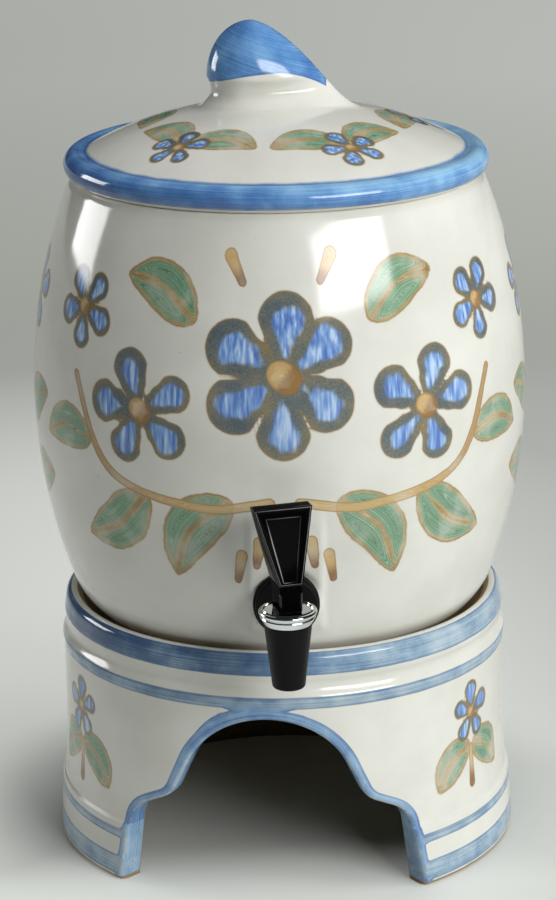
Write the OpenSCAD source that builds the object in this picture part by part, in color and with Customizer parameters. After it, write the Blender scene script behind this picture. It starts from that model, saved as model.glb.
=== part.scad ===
// Drink crock: a glazed stoneware barrel with a domed lid and a lever tap, standing on a
// stoneware ring stand with an arched front. Sizes are in millimetres. The stand's axis is
// Z with its foot at z = 0, and the tap faces -Y.

/* [Crock] */
// Largest outer radius of the barrel
crock_r = 137.6; // [126:0.2:150]
// Height of the crock from its foot to its mouth
crock_h = 246; // [225:1:260]
// Height of the widest ring above the crock's foot
belly_h = 125; // [112:1:138]
// Radius of the curve of the barrel's side
side_curve = 315; // [280:1:400]
// Height of the heel, where the side turns in to the foot
heel_h = 20; // [16:0.5:24]
// Radius of the curve of the heel
heel_curve = 40; // [36:0.5:55]
// Thickness of the wall
crock_wall = 9; // [7:0.5:11]
// Thickness of the floor
crock_floor = 11; // [8:0.5:14]
// Rounding of the two edges of the mouth
mouth_round = 2.5; // [1:0.5:3.5]
// Width of the ring that the crock stands on
foot_ring_w = 15; // [8:0.5:30]
// Depth of the hollow inside that ring
foot_hollow = 2; // [1:0.25:4]

/* [Tap seat] */
// Height of the tap's shank above the crock's foot
tap_h = 39; // [36:0.5:48]
// How far the flat round seat is wider than the outer washer
seat_margin = 0.75; // [0.3:0.05:3]
// How far the seat stands out from the barrel at the shank
seat_proud = 1.7; // [0.5:0.1:4]
// Thickness of the seat from its outer to its inner face
seat_t = 14; // [11:0.5:18]
// Width of the flattened strip around the tap
strip_w = 40; // [38:0.5:60]
// How far the flattened strip runs above the shank
strip_up = 60; // [30:1:80]
// How far the flattened strip runs below the shank
strip_down = 18; // [10:0.5:20]
// Clearance of the hole around the shank
hole_gap = 1.5; // [0.5:0.1:2.5]

/* [Lid] */
// How far the lid's rim stands out past the mouth
lid_over = 3.6; // [2:0.1:8]
// Radius of the rounded rim
lid_roll = 7; // [5:0.2:9]
// How far the dome's foot lies in from the middle of the rounded rim
dome_inset = 6; // [4:0.25:9]
// How far the dome's foot lies below the top of the rounded rim
dome_drop = 0.5; // [0:0.1:2]
// Height of the top of the dome above the mouth
lid_dome_h = 39; // [30:0.5:50]
// Thickness of the dome
lid_wall = 8; // [6:0.5:10]
// Depth of the locating ring below the mouth
ring_depth = 12; // [8:0.5:18]
// Thickness of the locating ring
ring_t = 6; // [4:0.5:9]
// Bevel on the lower edges of the locating ring
ring_bevel = 1.5; // [0.5:0.25:1.75]
// Clearance between the locating ring and the mouth
ring_gap = 2; // [1:0.1:4]

/* [Knob] */
// Height of the knob's peak above the top of the dome
knob_h = 44; // [32:0.5:50]
// Height of the cap's fullest ring above the top of the dome
knob_full_h = 14; // [12:0.5:22]
// How far the knob's round end reaches from the lid's axis
knob_round_x = 37.3; // [28:0.1:44]
// How far the knob's tip reaches from the lid's axis, level with the fullest ring
knob_tip_x = 25.7; // [18:0.1:34]
// How far the knob's foot runs out past the tip
knob_tail = 12.2; // [6:0.1:18]
// How far the knob's peak lies from the lid's axis, towards the round end
knob_peak_x = 12.5; // [4:0.5:14]
// Half the depth of the knob's cap
knob_half_w = 22; // [14:0.5:28]
// How far the finger grip goes in under the cap
knob_grip = 4.5; // [1:0.25:6]
// How full the slope from the peak to the tip is: 1 is straight, and less is fuller
knob_slope = 0.645; // [0.5:0.005:1]
// How much the sides are drawn in towards the tip: 1 is an oval, and more is more pointed
knob_point = 1.25; // [1:0.05:1.6]
// Radius of the hollow curve in which the knob's foot runs out into the dome
knob_foot = 9; // [6:0.25:10]
// How far that curve runs on below the dome
knob_foot_sink = 1; // [0.5:0.1:1.5]
// How deep the knob is set into the dome
knob_sink = 4; // [3:0.25:6]

/* [Stand] */
// Turn of the stand under the crock, in degrees
stand_turn = -5.5; // [-30:0.5:30]
// Height of the ledge that carries the crock
ledge_z = 137; // [130:0.5:150]
// Height of the rim above the ledge
rim_up = 8.5; // [7:0.25:11]
// Gap between the rim and the crock
rim_gap = 1; // [0.5:0.1:3]
// Width from the rim's inner edge out to the wall's outer face
rim_w = 11.7; // [11:0.1:16]
// Rounding of the rim's crest
rim_round = 5; // [4:0.25:6]
// How far the middle of that rounding lies out from the rim's inner edge
crest_out = 4.8; // [4:0.1:6]
// How far the rim's inner lip falls from the crest
lip_drop = 3; // [1:0.25:4]
// Thickness of the wall
stand_wall = 9.5; // [8:0.5:12]
// How far the ledge reaches in from the wall's inner face
ledge_in = 20; // [14:0.5:30]
// Thickness of the ledge at its inner edge
ledge_t = 10; // [7:0.5:14]
// Height of the slope that carries the ledge from the wall
ledge_slope = 15.5; // [8:0.5:20]
// How far the base moulding stands out from the wall
base_out = 5.5; // [4.8:0.1:8]
// Height of the base moulding
base_h = 35; // [28:0.5:38]
// How far the base moulding leans in towards its top
base_lean = 2; // [0.5:0.1:2.6]
// How far the wall flares out above the base moulding
wall_flare = 1.9; // [1:0.1:2.6]
// Height of that flare
flare_h = 30; // [15:0.5:40]
// Rounding at the foot
foot_round = 3.5; // [2:0.25:6]
// Depth of the raised ring's middle below the rim
bead_down = 26; // [25.5:0.25:28]
// Radius of the raised ring's rounding
bead_r = 5; // [3:0.25:5.5]
// How far the raised ring stands out from the wall
bead_out = 0.7; // [0.5:0.1:1.5]
// Depth of the groove's middle below the rim
groove_down = 18.2; // [17.5:0.1:19]
// How far the groove lies in from the wall
groove_in = 2.2; // [1.6:0.1:3]
// Rounding of the groove
groove_round = 6; // [5:0.25:7]
// Depth of the fullest line of the rim's roll below the rim
roll_down = 12; // [11:0.1:13]
// How far that line lies in from the wall
roll_in = 1; // [0.5:0.1:1.5]

/* [Arch] */
// Height of the arch
arch_h = 107.8; // [96:0.1:109]
// Radius of the crown of the arch
crown_r = 48.5; // [44:0.5:50]
// Half width at the hollow knee between the crown and the shoulder
knee_w = 54; // [52:0.5:58]
// Height of the knee
knee_z = 58.5; // [54:0.5:62]
// Rounding of the knee
knee_round = 16.5; // [8:0.5:18]
// Half width at the shoulder's corner
shoulder_w = 75.7; // [72:0.1:78]
// Height of the shoulder's corner
shoulder_z = 47; // [42:0.5:50]
// Rounding of the shoulder's corner
shoulder_round = 18; // [6:0.5:20]
// Half width of the opening at the floor
leg_foot_w = 81.6; // [74:0.1:88]

/* [Tap body] */
// Distance of the spout's axis from the seat
reach = 48; // [44:0.5:60]
// Length of the spout below the shank's axis
spout_down = 28.7; // [24:0.1:32]
// Outer radius of the spout at its end
spout_end_r = 8.7; // [8:0.1:10]
// Outer radius of the spout under the collar
spout_top_r = 12.5; // [12.3:0.1:13.2]
// Thickness of the spout's wall
spout_wall = 2.2; // [1.6:0.1:2.4]
// Depth of the valve seat below the shank's axis
valve_down = 9; // [8:0.25:11]
// Thickness of the valve seat
valve_seat_t = 4; // [3:0.25:6]
// Radius of the hole in the valve seat
valve_hole_r = 4.5; // [3:0.1:5]
// Height of the body's neck above the shank's axis
neck_up = 10; // [9.5:0.1:10.5]
// How far the neck is set in from the spout's top
neck_in = 0.8; // [0.2:0.1:1]
// Radius of the threaded shank
shank_r = 8; // [7:0.1:9]
// Radius of the bore through the shank
shank_bore_r = 4.5; // [3:0.1:4.8]
// How far the flange is smaller than the outer washer
flange_in = 1.25; // [0.5:0.05:3]
// Thickness of the flange
flange_t = 3; // [2:0.25:4]
// Clearance between the arm and the collar above it
arm_gap = 0.3; // [0.2:0.05:0.6]
// Length of shank left over behind the nut
shank_spare = 4; // [2:0.5:8]
// Pitch of the shank's thread rings
thread_pitch = 2; // [1.5:0.25:3]
// Depth of the shank's thread rings
thread_depth = 0.6; // [0.3:0.05:0.8]
// Bevel on the moulded edges of the tap
tap_bevel = 0.6; // [0.3:0.05:0.8]

/* [Tap collar] */
// Thickness of the chrome collar's skirt at its top
collar_wall = 2.6; // [2.4:0.1:3.2]
// How far the skirt draws in towards its lower edge
collar_taper = 1.7; // [0.8:0.1:1.8]
// How far the collar's top stands out from its skirt
collar_flare = 0.8; // [0.6:0.1:2]
// Height of the collar's lower edge above the shank's axis
collar_low = 6.5; // [6.2:0.1:7]
// Thickness of the plate on top of the collar
collar_plate = 1.8; // [1.4:0.1:2.4]
// Height of the collar's rim above its plate
collar_rim = 1; // [0.5:0.1:1.4]
// Width of the collar's rim
collar_rim_w = 2.2; // [1.8:0.1:2.4]
// Depth of the fine groove round the collar
collar_groove = 0.4; // [0.2:0.05:0.6]

/* [Valve] */
// Radius of the lift stem
stem_r = 4; // [3.8:0.05:4.2]
// Thickness of the stem's flattened top
blade_t = 4; // [3:0.1:4.4]
// Height of the stem's flattened top above the pin
blade_up = 3.4; // [2.6:0.1:3.6]
// How far the flattened top starts below the collar's plate
blade_down = 4; // [3.6:0.1:5]
// Thickness of the stem's foot
stem_foot_t = 1.5; // [1:0.1:2]
// Gap between the stem's foot and the valve cup
stem_foot_gap = 0.3; // [0.2:0.05:0.5]
// Gap for the drink to run between the valve cup and the chamber
flow_gap = 1.4; // [1.1:0.05:1.6]
// Thickness of the valve cup's side
cup_wall = 1; // [0.8:0.05:1.1]
// Thickness of the valve cup's floor
cup_floor = 3; // [2:0.1:4]
// Thickness of the valve cup's clamped rim
cup_rim_t = 1.2; // [0.8:0.1:1.5]
// How far that rim is set in from the neck
cup_rim_in = 0.6; // [0.3:0.05:1.5]
// Thickness of the spring's wire
wire_d = 0.8; // [0.5:0.05:0.9]
// Number of the spring's turns
spring_turns = 7; // [5:1:8]
// Gap between the spring's ends and what they bear on
spring_gap = 0.05; // [0.03:0.01:0.2]
// Running clearance of the stem in the collar
stem_gap = 0.1; // [0.05:0.05:0.2]
// Height of the closed valve cup above its seat
cup_gap = 0.05; // [0.02:0.01:0.1]

/* [Lever] */
// Turn of the lever on the stem, in degrees
lever_turn = 14.5; // [-20:0.5:20]
// Height of the lever above the collar's plate
lever_h = 53.5; // [45:0.5:65]
// Width of the lever's shank
lever_w = 12.4; // [11.6:0.1:14]
// Width of the lever's paddle at its top
paddle_w = 30.4; // [22:0.2:36]
// Height where the paddle starts to widen, above the collar's plate
paddle_z = 15.6; // [9:0.1:20]
// Depth of the lever's shank
lever_d = 14; // [13:0.1:15]
// Thickness of the paddle at its top
paddle_t = 8; // [6:0.1:10]
// Lean of the paddle's face, in degrees
paddle_lean = 20; // [4:0.5:22]
// Bevel on the paddle's edges
paddle_bevel = 1.4; // [0.6:0.1:2]
// How far the paddle's lower edge stands out in front of the shank
paddle_lip = 0.8; // [0.4:0.1:1.5]
// How far the lever's back lies behind the stem's axis
lever_back = 13.5; // [11:0.25:16]
// Depth of the underside that runs from the lever's back to the shank
under_h = 5; // [3:0.25:7]
// Width of the flat edge round the paddle's sloping frame
frame_edge = 1.2; // [0.6:0.1:2]
// Width of the panel in the frame, at its top
panel_top_w = 18.8; // [12:0.2:20]
// Width of the panel in the frame, at its foot
panel_low_w = 7; // [4:0.1:8]
// Distance of the panel's top from the paddle's top
panel_top_in = 5; // [3:0.1:6]
// Distance of the panel's foot from the paddle's lower edge
panel_low_in = 2; // [1.5:0.1:4]
// Depth of the panel
panel_d = 1.4; // [0.4:0.1:2]
// Rounding of the lever's heel
heel_round = 1.5; // [1.2:0.1:1.8]
// Gap between the heel and the collar's plate
heel_gap = 0.1; // [0.05:0.05:0.2]
// Radius of the lever's pin
pin_r = 0.95; // [0.7:0.05:1]
// How far the pin's ends lie inside the lever's sides
pin_inset = 0.4; // [0.2:0.1:1]
// Clearance around the pin
pin_gap = 0.05; // [0.03:0.01:0.1]
// Clearance between the pin and the eye of the stem
eye_gap = 0.2; // [0.15:0.05:0.3]
// How far the pin can run forward in the eye
eye_run = 1.3; // [1.1:0.1:1.4]
// Clearance between the stem's flattened top and the lever's fork
fork_gap = 0.3; // [0.2:0.05:0.5]
// Radius of the fork's roof round the pin
fork_roof = 5.4; // [5:0.1:5.4]

/* [Tap fixing] */
// Radius of the outer washer
outer_washer_r = 17.75; // [16:0.05:19]
// Thickness of the outer washer
outer_washer_t = 4; // [3:0.25:5]
// Radius of the inner washer
inner_washer_r = 15; // [13:0.25:16]
// Thickness of the inner washer
inner_washer_t = 3; // [2:0.25:4]
// Radius of the slip ring
slip_r = 14.5; // [13:0.25:16]
// Thickness of the slip ring
slip_t = 1.5; // [1:0.25:2.5]
// Width of the lock nut across its flats
nut_flats = 28; // [24:0.5:28]
// Thickness of the lock nut
nut_t = 8; // [6:0.25:10]
// Clearance of the washers, the nut and the collar on their threads
thread_gap = 0.1; // [0.05:0.05:0.3]

/* [Hidden] */
$fn = 96;

// A cutter runs this far past the face that it cuts
past = 1;

// Points on an arc from angle a0 to angle a1, in n steps
function arc(cx, cy, r, a0, a1, n) =
  [for (i = [0:n]) let (a = a0 + (a1 - a0) * i / n) [cx + r * cos(a), cy + r * sin(a)]];

// Points on the rounding, in n steps, of the corner at b on the way from a to c
function rounded_corner(a, b, c, r, n) =
  let (
    u = (a - b) / norm(a - b),
    v = (c - b) / norm(c - b),
    half = acos(u * v) / 2,
    reach = min(r / tan(half), norm(a - b) / 2, norm(c - b) / 2),
    centre = b + (u + v) / norm(u + v) * reach / cos(half),
    from = b + u * reach - centre,
    start = atan2(from[1], from[0]),
    turn = (cross(u, v) > 0 ? -1 : 1) * (180 - 2 * half)
  )
  arc(centre[0], centre[1], norm(from), start, start + turn, n);

// Outer radius of the barrel at a height above the crock's foot
side_cx = crock_r - side_curve;
side_in = side_curve - crock_wall;
function side_r(h) = side_cx + sqrt(pow(side_curve, 2) - pow(h - belly_h, 2));

// The heel is an arc that leaves the side in line with it
heel_a = asin((belly_h - heel_h) / side_curve);
heel_cx = side_r(heel_h) - heel_curve * cos(heel_a);
heel_cz = heel_h + heel_curve * sin(heel_a);
function heel_r(h) = heel_cx + sqrt(pow(heel_curve, 2) - pow(heel_cz - h, 2));

mouth_z = ledge_z + crock_h;
mouth_r = side_r(crock_h);
mouth_in_r = side_cx + sqrt(pow(side_in, 2) - pow(crock_h - belly_h, 2));

lid_r = mouth_r + lid_over;
ring_r = mouth_in_r - ring_gap;
dome_r = lid_r - lid_roll - dome_inset;
dome_rise = lid_dome_h - 2 * lid_roll + dome_drop;
dome_curve = (pow(dome_r, 2) + pow(dome_rise, 2)) / (2 * dome_rise);

rim_r = heel_r(rim_up) + rim_gap;
rim_z = ledge_z + rim_up;
stand_r = rim_r + rim_w;
stand_in = stand_r - stand_wall;

seat_r = outer_washer_r + seat_margin;
seat_y = side_r(tap_h) + seat_proud;
tap_z = ledge_z + tap_h;
spout_y = seat_y + reach;
shank_back = outer_washer_t + seat_t + inner_washer_t + slip_t + nut_t + shank_spare;

// Radii of the spout and of what fits inside it, and heights above the shank's axis
spout_slope = (spout_top_r - spout_end_r) / (spout_down + collar_low);
chamber_r = spout_end_r + spout_slope * (spout_down - valve_down) - spout_wall;
outlet_r = spout_end_r - spout_wall;
neck_r = spout_top_r - neck_in;
cup_r = chamber_r - flow_gap;
cup_in_r = cup_r - cup_wall;
cup_z = -valve_down + cup_gap;
plate_low = neck_up + cup_rim_t;
plate_z = plate_low + collar_plate;
stem_foot_z = cup_z + cup_floor;
spring_low = stem_foot_z + stem_foot_t + spring_gap;
pin_z = plate_z + heel_gap + heel_round;
heel_y = lever_d / 2 - heel_round;

// Places its children at the middle of the tap's seat, with Z inwards along the shank
module at_seat(depth) {
  translate([0, -seat_y, tap_z])
    rotate([-90, 0, 0])
      translate([0, 0, depth])
        children();
}

// Places its children on the spout's axis, at a height above the shank's axis
module at_spout(up) {
  translate([0, -spout_y, tap_z + up])
    children();
}

// A rod along X, centred on the origin
module cross_rod(r, length) {
  rotate([0, 90, 0])
    cylinder(r = r, h = length, center = true);
}

// A flat ring on the shank, at a depth from the seat's outer face
module shank_ring(outer, depth, t) {
  at_seat(depth)
    difference() {
      cylinder(r = outer, h = t);
      translate([0, 0, -past])
        cylinder(r = shank_r + thread_gap, h = t + 2 * past);
    }
}

// Half of the arch's outline, as half widths on the wall and heights
function arch_half() =
  let (
    crown_z = arch_h - crown_r,
    knee = [knee_w, knee_z],
    shoulder = [shoulder_w, shoulder_z],
    foot = [leg_foot_w, 0],
    away = [knee_w, knee_z - crown_z],
    lean = atan2(away[1], away[0]) + acos(crown_r / norm(away)),
    crown = arc(0, crown_z, crown_r, 90, lean, 20)
  )
  concat(
    crown,
    rounded_corner(crown[20], knee, shoulder, knee_round, 8),
    rounded_corner(knee, shoulder, foot, shoulder_round, 10),
    [foot, [leg_foot_w, -past]]
  );

// Cutter for the arch: its sides run straight out from the stand's axis
module arch_cutter() {
  near = 0.7 * stand_in;
  far = 1.2 * stand_r;
  half = [for (p = arch_half()) [near * tan(asin(p[0] / stand_r)), p[1]]];
  n = len(half) - 1;
  translate([0, -near, 0])
    rotate([90, 0, 0])
      linear_extrude(height = far - near, scale = [far / near, 1], slices = 4)
        polygon(concat(half, [for (i = [n:-1:1]) [-half[i][0], half[i][1]]]));
}

module stand_profile() {
  base_r = stand_r + base_out;
  step = base_out - base_lean - wall_flare;
  step_up = step * sin(60);
  bead_a = acos(1 - bead_out / bead_r);
  polygon(concat(
    [[stand_in, 0]],
    arc(base_r - foot_round, foot_round, foot_round, -90, 0, 6),
    arc(base_r - base_lean - step, base_h - step_up, step, 0, 60, 5),
    arc(stand_r + wall_flare + step, base_h + step_up, step, 228, 180, 4),
    [[stand_r, base_h + flare_h]],
    arc(stand_r + bead_out - bead_r, rim_z - bead_down, bead_r, -bead_a, 40, 8),
    arc(stand_r - groove_in + groove_round, rim_z - groove_down, groove_round, 215, 145, 6),
    [[stand_r - roll_in, rim_z - roll_down]],
    arc(rim_r + crest_out, rim_z - rim_round, rim_round, 5, 105, 9),
    [[rim_r, rim_z - lip_drop]],
    [[rim_r, ledge_z]],
    [[stand_in - ledge_in, ledge_z]],
    [[stand_in - ledge_in, ledge_z - ledge_t]],
    [[stand_in, ledge_z - ledge_t - ledge_slope]]
  ));
}

// Ring stand: base moulding, raised ring, rounded rim, inner ledge and arched front
module stand() {
  color("#d9d8cf")
  rotate([0, 0, stand_turn])
  difference() {
    rotate_extrude($fn = 180)
      stand_profile();
    arch_cutter();
  }
}

module crock_profile() {
  foot_r = heel_r(0);
  foot_a = asin(heel_cz / heel_curve);
  heel_in = heel_curve - crock_wall;
  floor_a = asin((heel_cz - crock_floor) / heel_in);
  out_a = asin((crock_h - mouth_round - belly_h) / side_curve);
  in_a = asin((crock_h - mouth_round - belly_h) / side_in);
  polygon(concat(
    [[0, foot_hollow]],
    [[foot_r - foot_ring_w - foot_hollow, foot_hollow]],
    [[foot_r - foot_ring_w, 0]],
    arc(heel_cx, heel_cz, heel_curve, -foot_a, -heel_a, 8),
    arc(side_cx, belly_h, side_curve, -heel_a, out_a, 30),
    arc(mouth_r - mouth_round, crock_h - mouth_round, mouth_round, 30, 90, 5),
    arc(mouth_in_r + mouth_round, crock_h - mouth_round, mouth_round, 90, 150, 5),
    arc(side_cx, belly_h, side_in, in_a, -heel_a, 30),
    arc(heel_cx, heel_cz, heel_in, -heel_a, -floor_a, 6),
    [[0, crock_floor]]
  ));
}

// Flattened strip up the front of the barrel, straight across and curved like the side
module tap_strip() {
  a0 = asin((tap_h - strip_down - belly_h) / side_curve);
  a1 = asin((tap_h + strip_up - belly_h) / side_curve);
  face = arc(side_cx, belly_h, side_curve, a0, a1, 12);
  back = arc(side_cx, belly_h, side_curve - crock_wall / 2, a1, a0, 12);
  translate([strip_w / 2, 0, ledge_z])
    rotate([0, -90, 0])
      linear_extrude(height = strip_w)
        polygon([for (p = concat(face, back)) [p[1], -p[0]]]);
}

// Crock: barrel with a flattened strip, a flat round seat on both sides and the tap hole
module crock() {
  clear = 2 * outer_washer_r;
  color("#e2e1d8")
  difference() {
    union() {
      translate([0, 0, ledge_z])
        rotate_extrude($fn = 180)
          crock_profile();
      tap_strip();
      at_seat(0)
        cylinder(r = seat_r, h = seat_t);
    }
    at_seat(-clear)
      cylinder(r = seat_r, h = clear);
    at_seat(seat_t)
      cylinder(r = seat_r, h = clear);
    at_seat(-past)
      cylinder(r = shank_r + hole_gap, h = seat_t + 2 * past);
  }
}

module lid_profile() {
  dome_in = dome_curve - lid_wall;
  dome_cz = lid_dome_h - dome_curve;
  dome_a = asin(dome_r / dome_curve);
  ring_a = asin((ring_r - ring_t) / dome_in);
  inner = arc(0, dome_cz, dome_in, 90, 90 - ring_a, 14);
  outer = arc(0, dome_cz, dome_curve, 90 - dome_a, 90, 16);
  polygon(concat(
    [[0, lid_dome_h - lid_wall]],
    [for (i = [1:14]) inner[i]],
    [[ring_r - ring_t, ring_bevel - ring_depth]],
    [[ring_r - ring_t + ring_bevel, -ring_depth]],
    [[ring_r - ring_bevel, -ring_depth]],
    [[ring_r, ring_bevel - ring_depth]],
    [[ring_r, 0]],
    arc(lid_r - lid_roll, lid_roll, lid_roll, -90, 115, 18),
    [for (i = [0:15]) outer[i]],
    [[0, lid_dome_h]]
  ));
}

// Knob outline at a level: t runs from -1 at the dome to 0 at the fullest ring and 1 at the peak
function knob_grip_at(t) = t < 0 ? knob_grip * sin(180 * min(1, -t)) : 0;
function knob_round_at(t) = t > 0 ? sqrt(1 - pow(t, 2)) : 1;
function knob_left(t) = -knob_peak_x - (knob_round_x - knob_peak_x) * knob_round_at(t) + knob_grip_at(t) / 2;
function knob_right(t) = t < 0
  ? knob_tip_x - knob_tail * t
  : -knob_peak_x + (knob_tip_x + knob_peak_x) * pow(1 - t, knob_slope);
function knob_wide(t) = knob_half_w * knob_round_at(t) - knob_grip_at(t);
function knob_z(t) = lid_dome_h + knob_full_h + t * (t < 0 ? knob_full_h : knob_h - knob_full_h);
function dome_z(p) = lid_dome_h - dome_curve + sqrt(pow(dome_curve, 2) - pow(p[0], 2) - pow(p[1], 2));

// A point of the knob, moved out from the middle of its ring where the foot runs into the dome
function knob_foot_point(p, middle) =
  let (
    up = p[2] - dome_z(p),
    left = knob_foot - max(up + knob_foot_sink, 0),
    out = left > 0 ? knob_foot - sqrt(pow(knob_foot, 2) - pow(left, 2)) : 0,
    way = [p[0] - middle, p[1]],
    q = [p[0], p[1]] + out * way / norm(way)
  )
  [q[0], q[1], dome_z(q) + up];
function knob_skin(t, a) =
  let (
    w = knob_wide(t),
    c = knob_left(t) + w,
    x = c + (cos(a) < 0 ? w : knob_right(t) - c) * cos(a),
    y = w * (cos(a) < 0 ? sin(a) : sign(sin(a)) * pow(abs(sin(a)), knob_point))
  )
  t < 0 ? knob_foot_point([x, y, knob_z(t)], c) : [x, y, knob_z(t)];

// Knob: level rings of a drop outline, round to -X and drawn out to a tip at +X
module knob() {
  around = 40;
  low = [for (i = [10:-1:1]) -(1 + knob_sink / knob_full_h) * i / 10];
  high = [for (i = [0:12]) sin(88 * i / 12)];
  levels = concat(low, high);
  last = len(levels) - 1;
  points = [for (t = levels) for (k = [0:around - 1]) knob_skin(t, 360 * k / around)];
  sides = [
    for (i = [0:last - 1]) for (k = [0:around - 1])
      let (n = (k + 1) % around)
      [i * around + k, (i + 1) * around + k, (i + 1) * around + n, i * around + n]
  ];
  foot = [for (k = [0:around - 1]) k];
  peak = [for (k = [around - 1:-1:0]) last * around + k];
  polyhedron(points = points, faces = concat(sides, [foot], [peak]));
}

// Lid: dome with a rounded rim, a locating ring that drops into the mouth, and the knob
module lid() {
  color("#e2e1d8")
  translate([0, 0, mouth_z])
  union() {
    rotate_extrude($fn = 144)
      lid_profile();
    knob();
  }
}

module spout_profile() {
  polygon([
    [0, -spout_down],
    [spout_end_r - tap_bevel, -spout_down],
    [spout_end_r, tap_bevel - spout_down],
    [spout_top_r, collar_low - neck_in],
    [neck_r, collar_low],
    [neck_r, neck_up],
    [0, neck_up],
  ]);
}

// Flange and threaded shank, with height 0 at the flange's back face
module shank_profile() {
  flange_r = outer_washer_r - flange_in;
  rings = floor((shank_back - outer_washer_t) / thread_pitch);
  thread = [
    for (i = [0:rings - 1])
      let (h = outer_washer_t + i * thread_pitch)
      each [
        [shank_r, h],
        [shank_r, h + thread_pitch / 4],
        [shank_r - thread_depth, h + thread_pitch * 5 / 8],
      ]
  ];
  polygon(concat(
    [[0, -flange_t]],
    [[flange_r - tap_bevel, -flange_t]],
    [[flange_r, tap_bevel - flange_t]],
    [[flange_r, 0]],
    [[shank_r, 0]],
    thread,
    [[shank_r - thread_depth, shank_back]],
    [[0, shank_back]]
  ));
}

// Tap body: tapered spout, arm, flange and threaded shank, bored through to the outlet
module tap_body() {
  color("#151515")
  difference() {
    union() {
      at_spout(0)
        rotate_extrude()
          spout_profile();
      at_seat(-reach)
        cylinder(r = collar_low - arm_gap, h = reach - outer_washer_t);
      at_seat(-outer_washer_t)
        rotate_extrude()
          shank_profile();
    }
    at_spout(-valve_down)
      cylinder(r = chamber_r, h = valve_down + neck_up + past);
    at_spout(-valve_down - valve_seat_t - past)
      cylinder(r = valve_hole_r, h = valve_seat_t + 2 * past);
    at_spout(-spout_down - past)
      cylinder(r = outlet_r, h = spout_down - valve_down - valve_seat_t + past);
    at_seat(-reach)
      cylinder(r = shank_bore_r, h = reach + shank_back + past);
  }
}

// Chrome collar: screws over the body's neck and clamps the rim of the valve cup
module tap_collar() {
  hole_r = stem_r + stem_gap;
  skirt_in = neck_r + thread_gap;
  skirt_r = skirt_in + collar_wall;
  skirt_low_r = skirt_r - collar_taper;
  top_r = skirt_r + collar_flare;
  top = plate_z + collar_rim;
  bead = (collar_rim + collar_plate) / 2;
  color("#c8cacc")
  at_spout(0)
  rotate_extrude()
  polygon(concat(
    [[hole_r, plate_low]],
    [[skirt_in, plate_low]],
    [[skirt_in, collar_low]],
    [[skirt_low_r - collar_groove, collar_low]],
    [[skirt_low_r, collar_low + collar_groove]],
    [[skirt_r, plate_low - 2 * collar_groove]],
    [[skirt_r - collar_groove, plate_low - collar_groove]],
    [[skirt_r, plate_low]],
    arc(top_r - bead, top - bead, bead, -30, 90, 7),
    [[top_r - collar_rim_w + collar_groove, top]],
    [[top_r - collar_rim_w, plate_z]],
    [[hole_r, plate_z]]
  ));
}

// Soft valve cup: its floor closes the seat and its rim is clamped under the collar
module valve_cup() {
  color("#b9b4a6")
  at_spout(0)
  rotate_extrude()
  polygon([
    [0, cup_z],
    [cup_r - tap_bevel, cup_z],
    [cup_r, cup_z + tap_bevel],
    [cup_r, neck_up],
    [neck_r - cup_rim_in, neck_up],
    [neck_r - cup_rim_in, plate_low],
    [cup_in_r, plate_low],
    [cup_in_r, stem_foot_z],
    [0, stem_foot_z],
  ]);
}

// Lift stem: foot in the valve cup, round rod through the collar, flattened top with an eye
module lift_stem() {
  rod_top = plate_z - blade_down;
  blade_w = 2 * sqrt(pow(stem_r - stem_gap, 2) - pow(blade_t / 2, 2));
  eye_r = pin_r + eye_gap;
  color("#9a9c9e")
  at_spout(0)
  rotate([0, 0, lever_turn])
  difference() {
    union() {
      translate([0, 0, stem_foot_z])
        cylinder(r = cup_in_r - stem_foot_gap, h = stem_foot_t);
      translate([0, 0, stem_foot_z])
        cylinder(r = stem_r, h = rod_top - stem_foot_z);
      translate([-blade_t / 2, -blade_w / 2, rod_top - past])
        cube([blade_t, blade_w, pin_z + blade_up - rod_top + past]);
    }
    translate([0, 0, pin_z])
      cross_rod(eye_r, 2 * blade_t);
    translate([0, -eye_run, pin_z])
      cross_rod(eye_r, 2 * blade_t);
    translate([-blade_t, -eye_run, pin_z - eye_r])
      cube([2 * blade_t, eye_run, 2 * eye_r]);
  }
}

// Closing spring: a wire ring carried round the stem along a helix
module closing_spring() {
  around = 16;
  sides = 6;
  steps = around * spring_turns;
  coil_r = (stem_r + cup_in_r) / 2;
  low = spring_low + wire_d / 2;
  rise = plate_low - spring_gap - wire_d / 2 - low;
  function wire_point(i, k) =
    let (a = 360 * i / around, b = 360 * k / sides, r = coil_r + wire_d / 2 * cos(b))
    [r * cos(a), r * sin(a), low + rise * i / steps + wire_d / 2 * sin(b)];
  points = [for (i = [0:steps]) for (k = [0:sides - 1]) wire_point(i, k)];
  skin = [
    for (i = [0:steps - 1]) for (k = [0:sides - 1])
      let (n = (k + 1) % sides)
      [i * sides + k, (i + 1) * sides + k, (i + 1) * sides + n, i * sides + n]
  ];
  start = [for (k = [0:sides - 1]) k];
  end = [for (k = [sides - 1:-1:0]) steps * sides + k];
  color("#a8aaac")
  at_spout(0)
    polyhedron(points = points, faces = concat(skin, [start], [end]));
}

// Side view of the lever, with Y to the right and Z up from the collar's plate
module lever_side() {
  lip_y = -lever_d / 2 - paddle_lip;
  face_y = lip_y + (lever_h - paddle_z) * tan(paddle_lean);
  polygon(concat(
    arc(-heel_y, heel_gap + heel_round, heel_round, 180, 270, 5),
    [[lever_d / 2, heel_gap]],
    [[lever_d / 2, paddle_z - under_h]],
    [[lever_back, paddle_z]],
    [[face_y + paddle_t, lever_h - paddle_bevel]],
    [[face_y + paddle_t - paddle_bevel, lever_h]],
    [[face_y + paddle_bevel, lever_h]],
    [[face_y - paddle_bevel * tan(paddle_lean), lever_h - paddle_bevel]],
    [[lip_y, paddle_z]],
    [[-lever_d / 2, paddle_z]]
  ));
}

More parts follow.
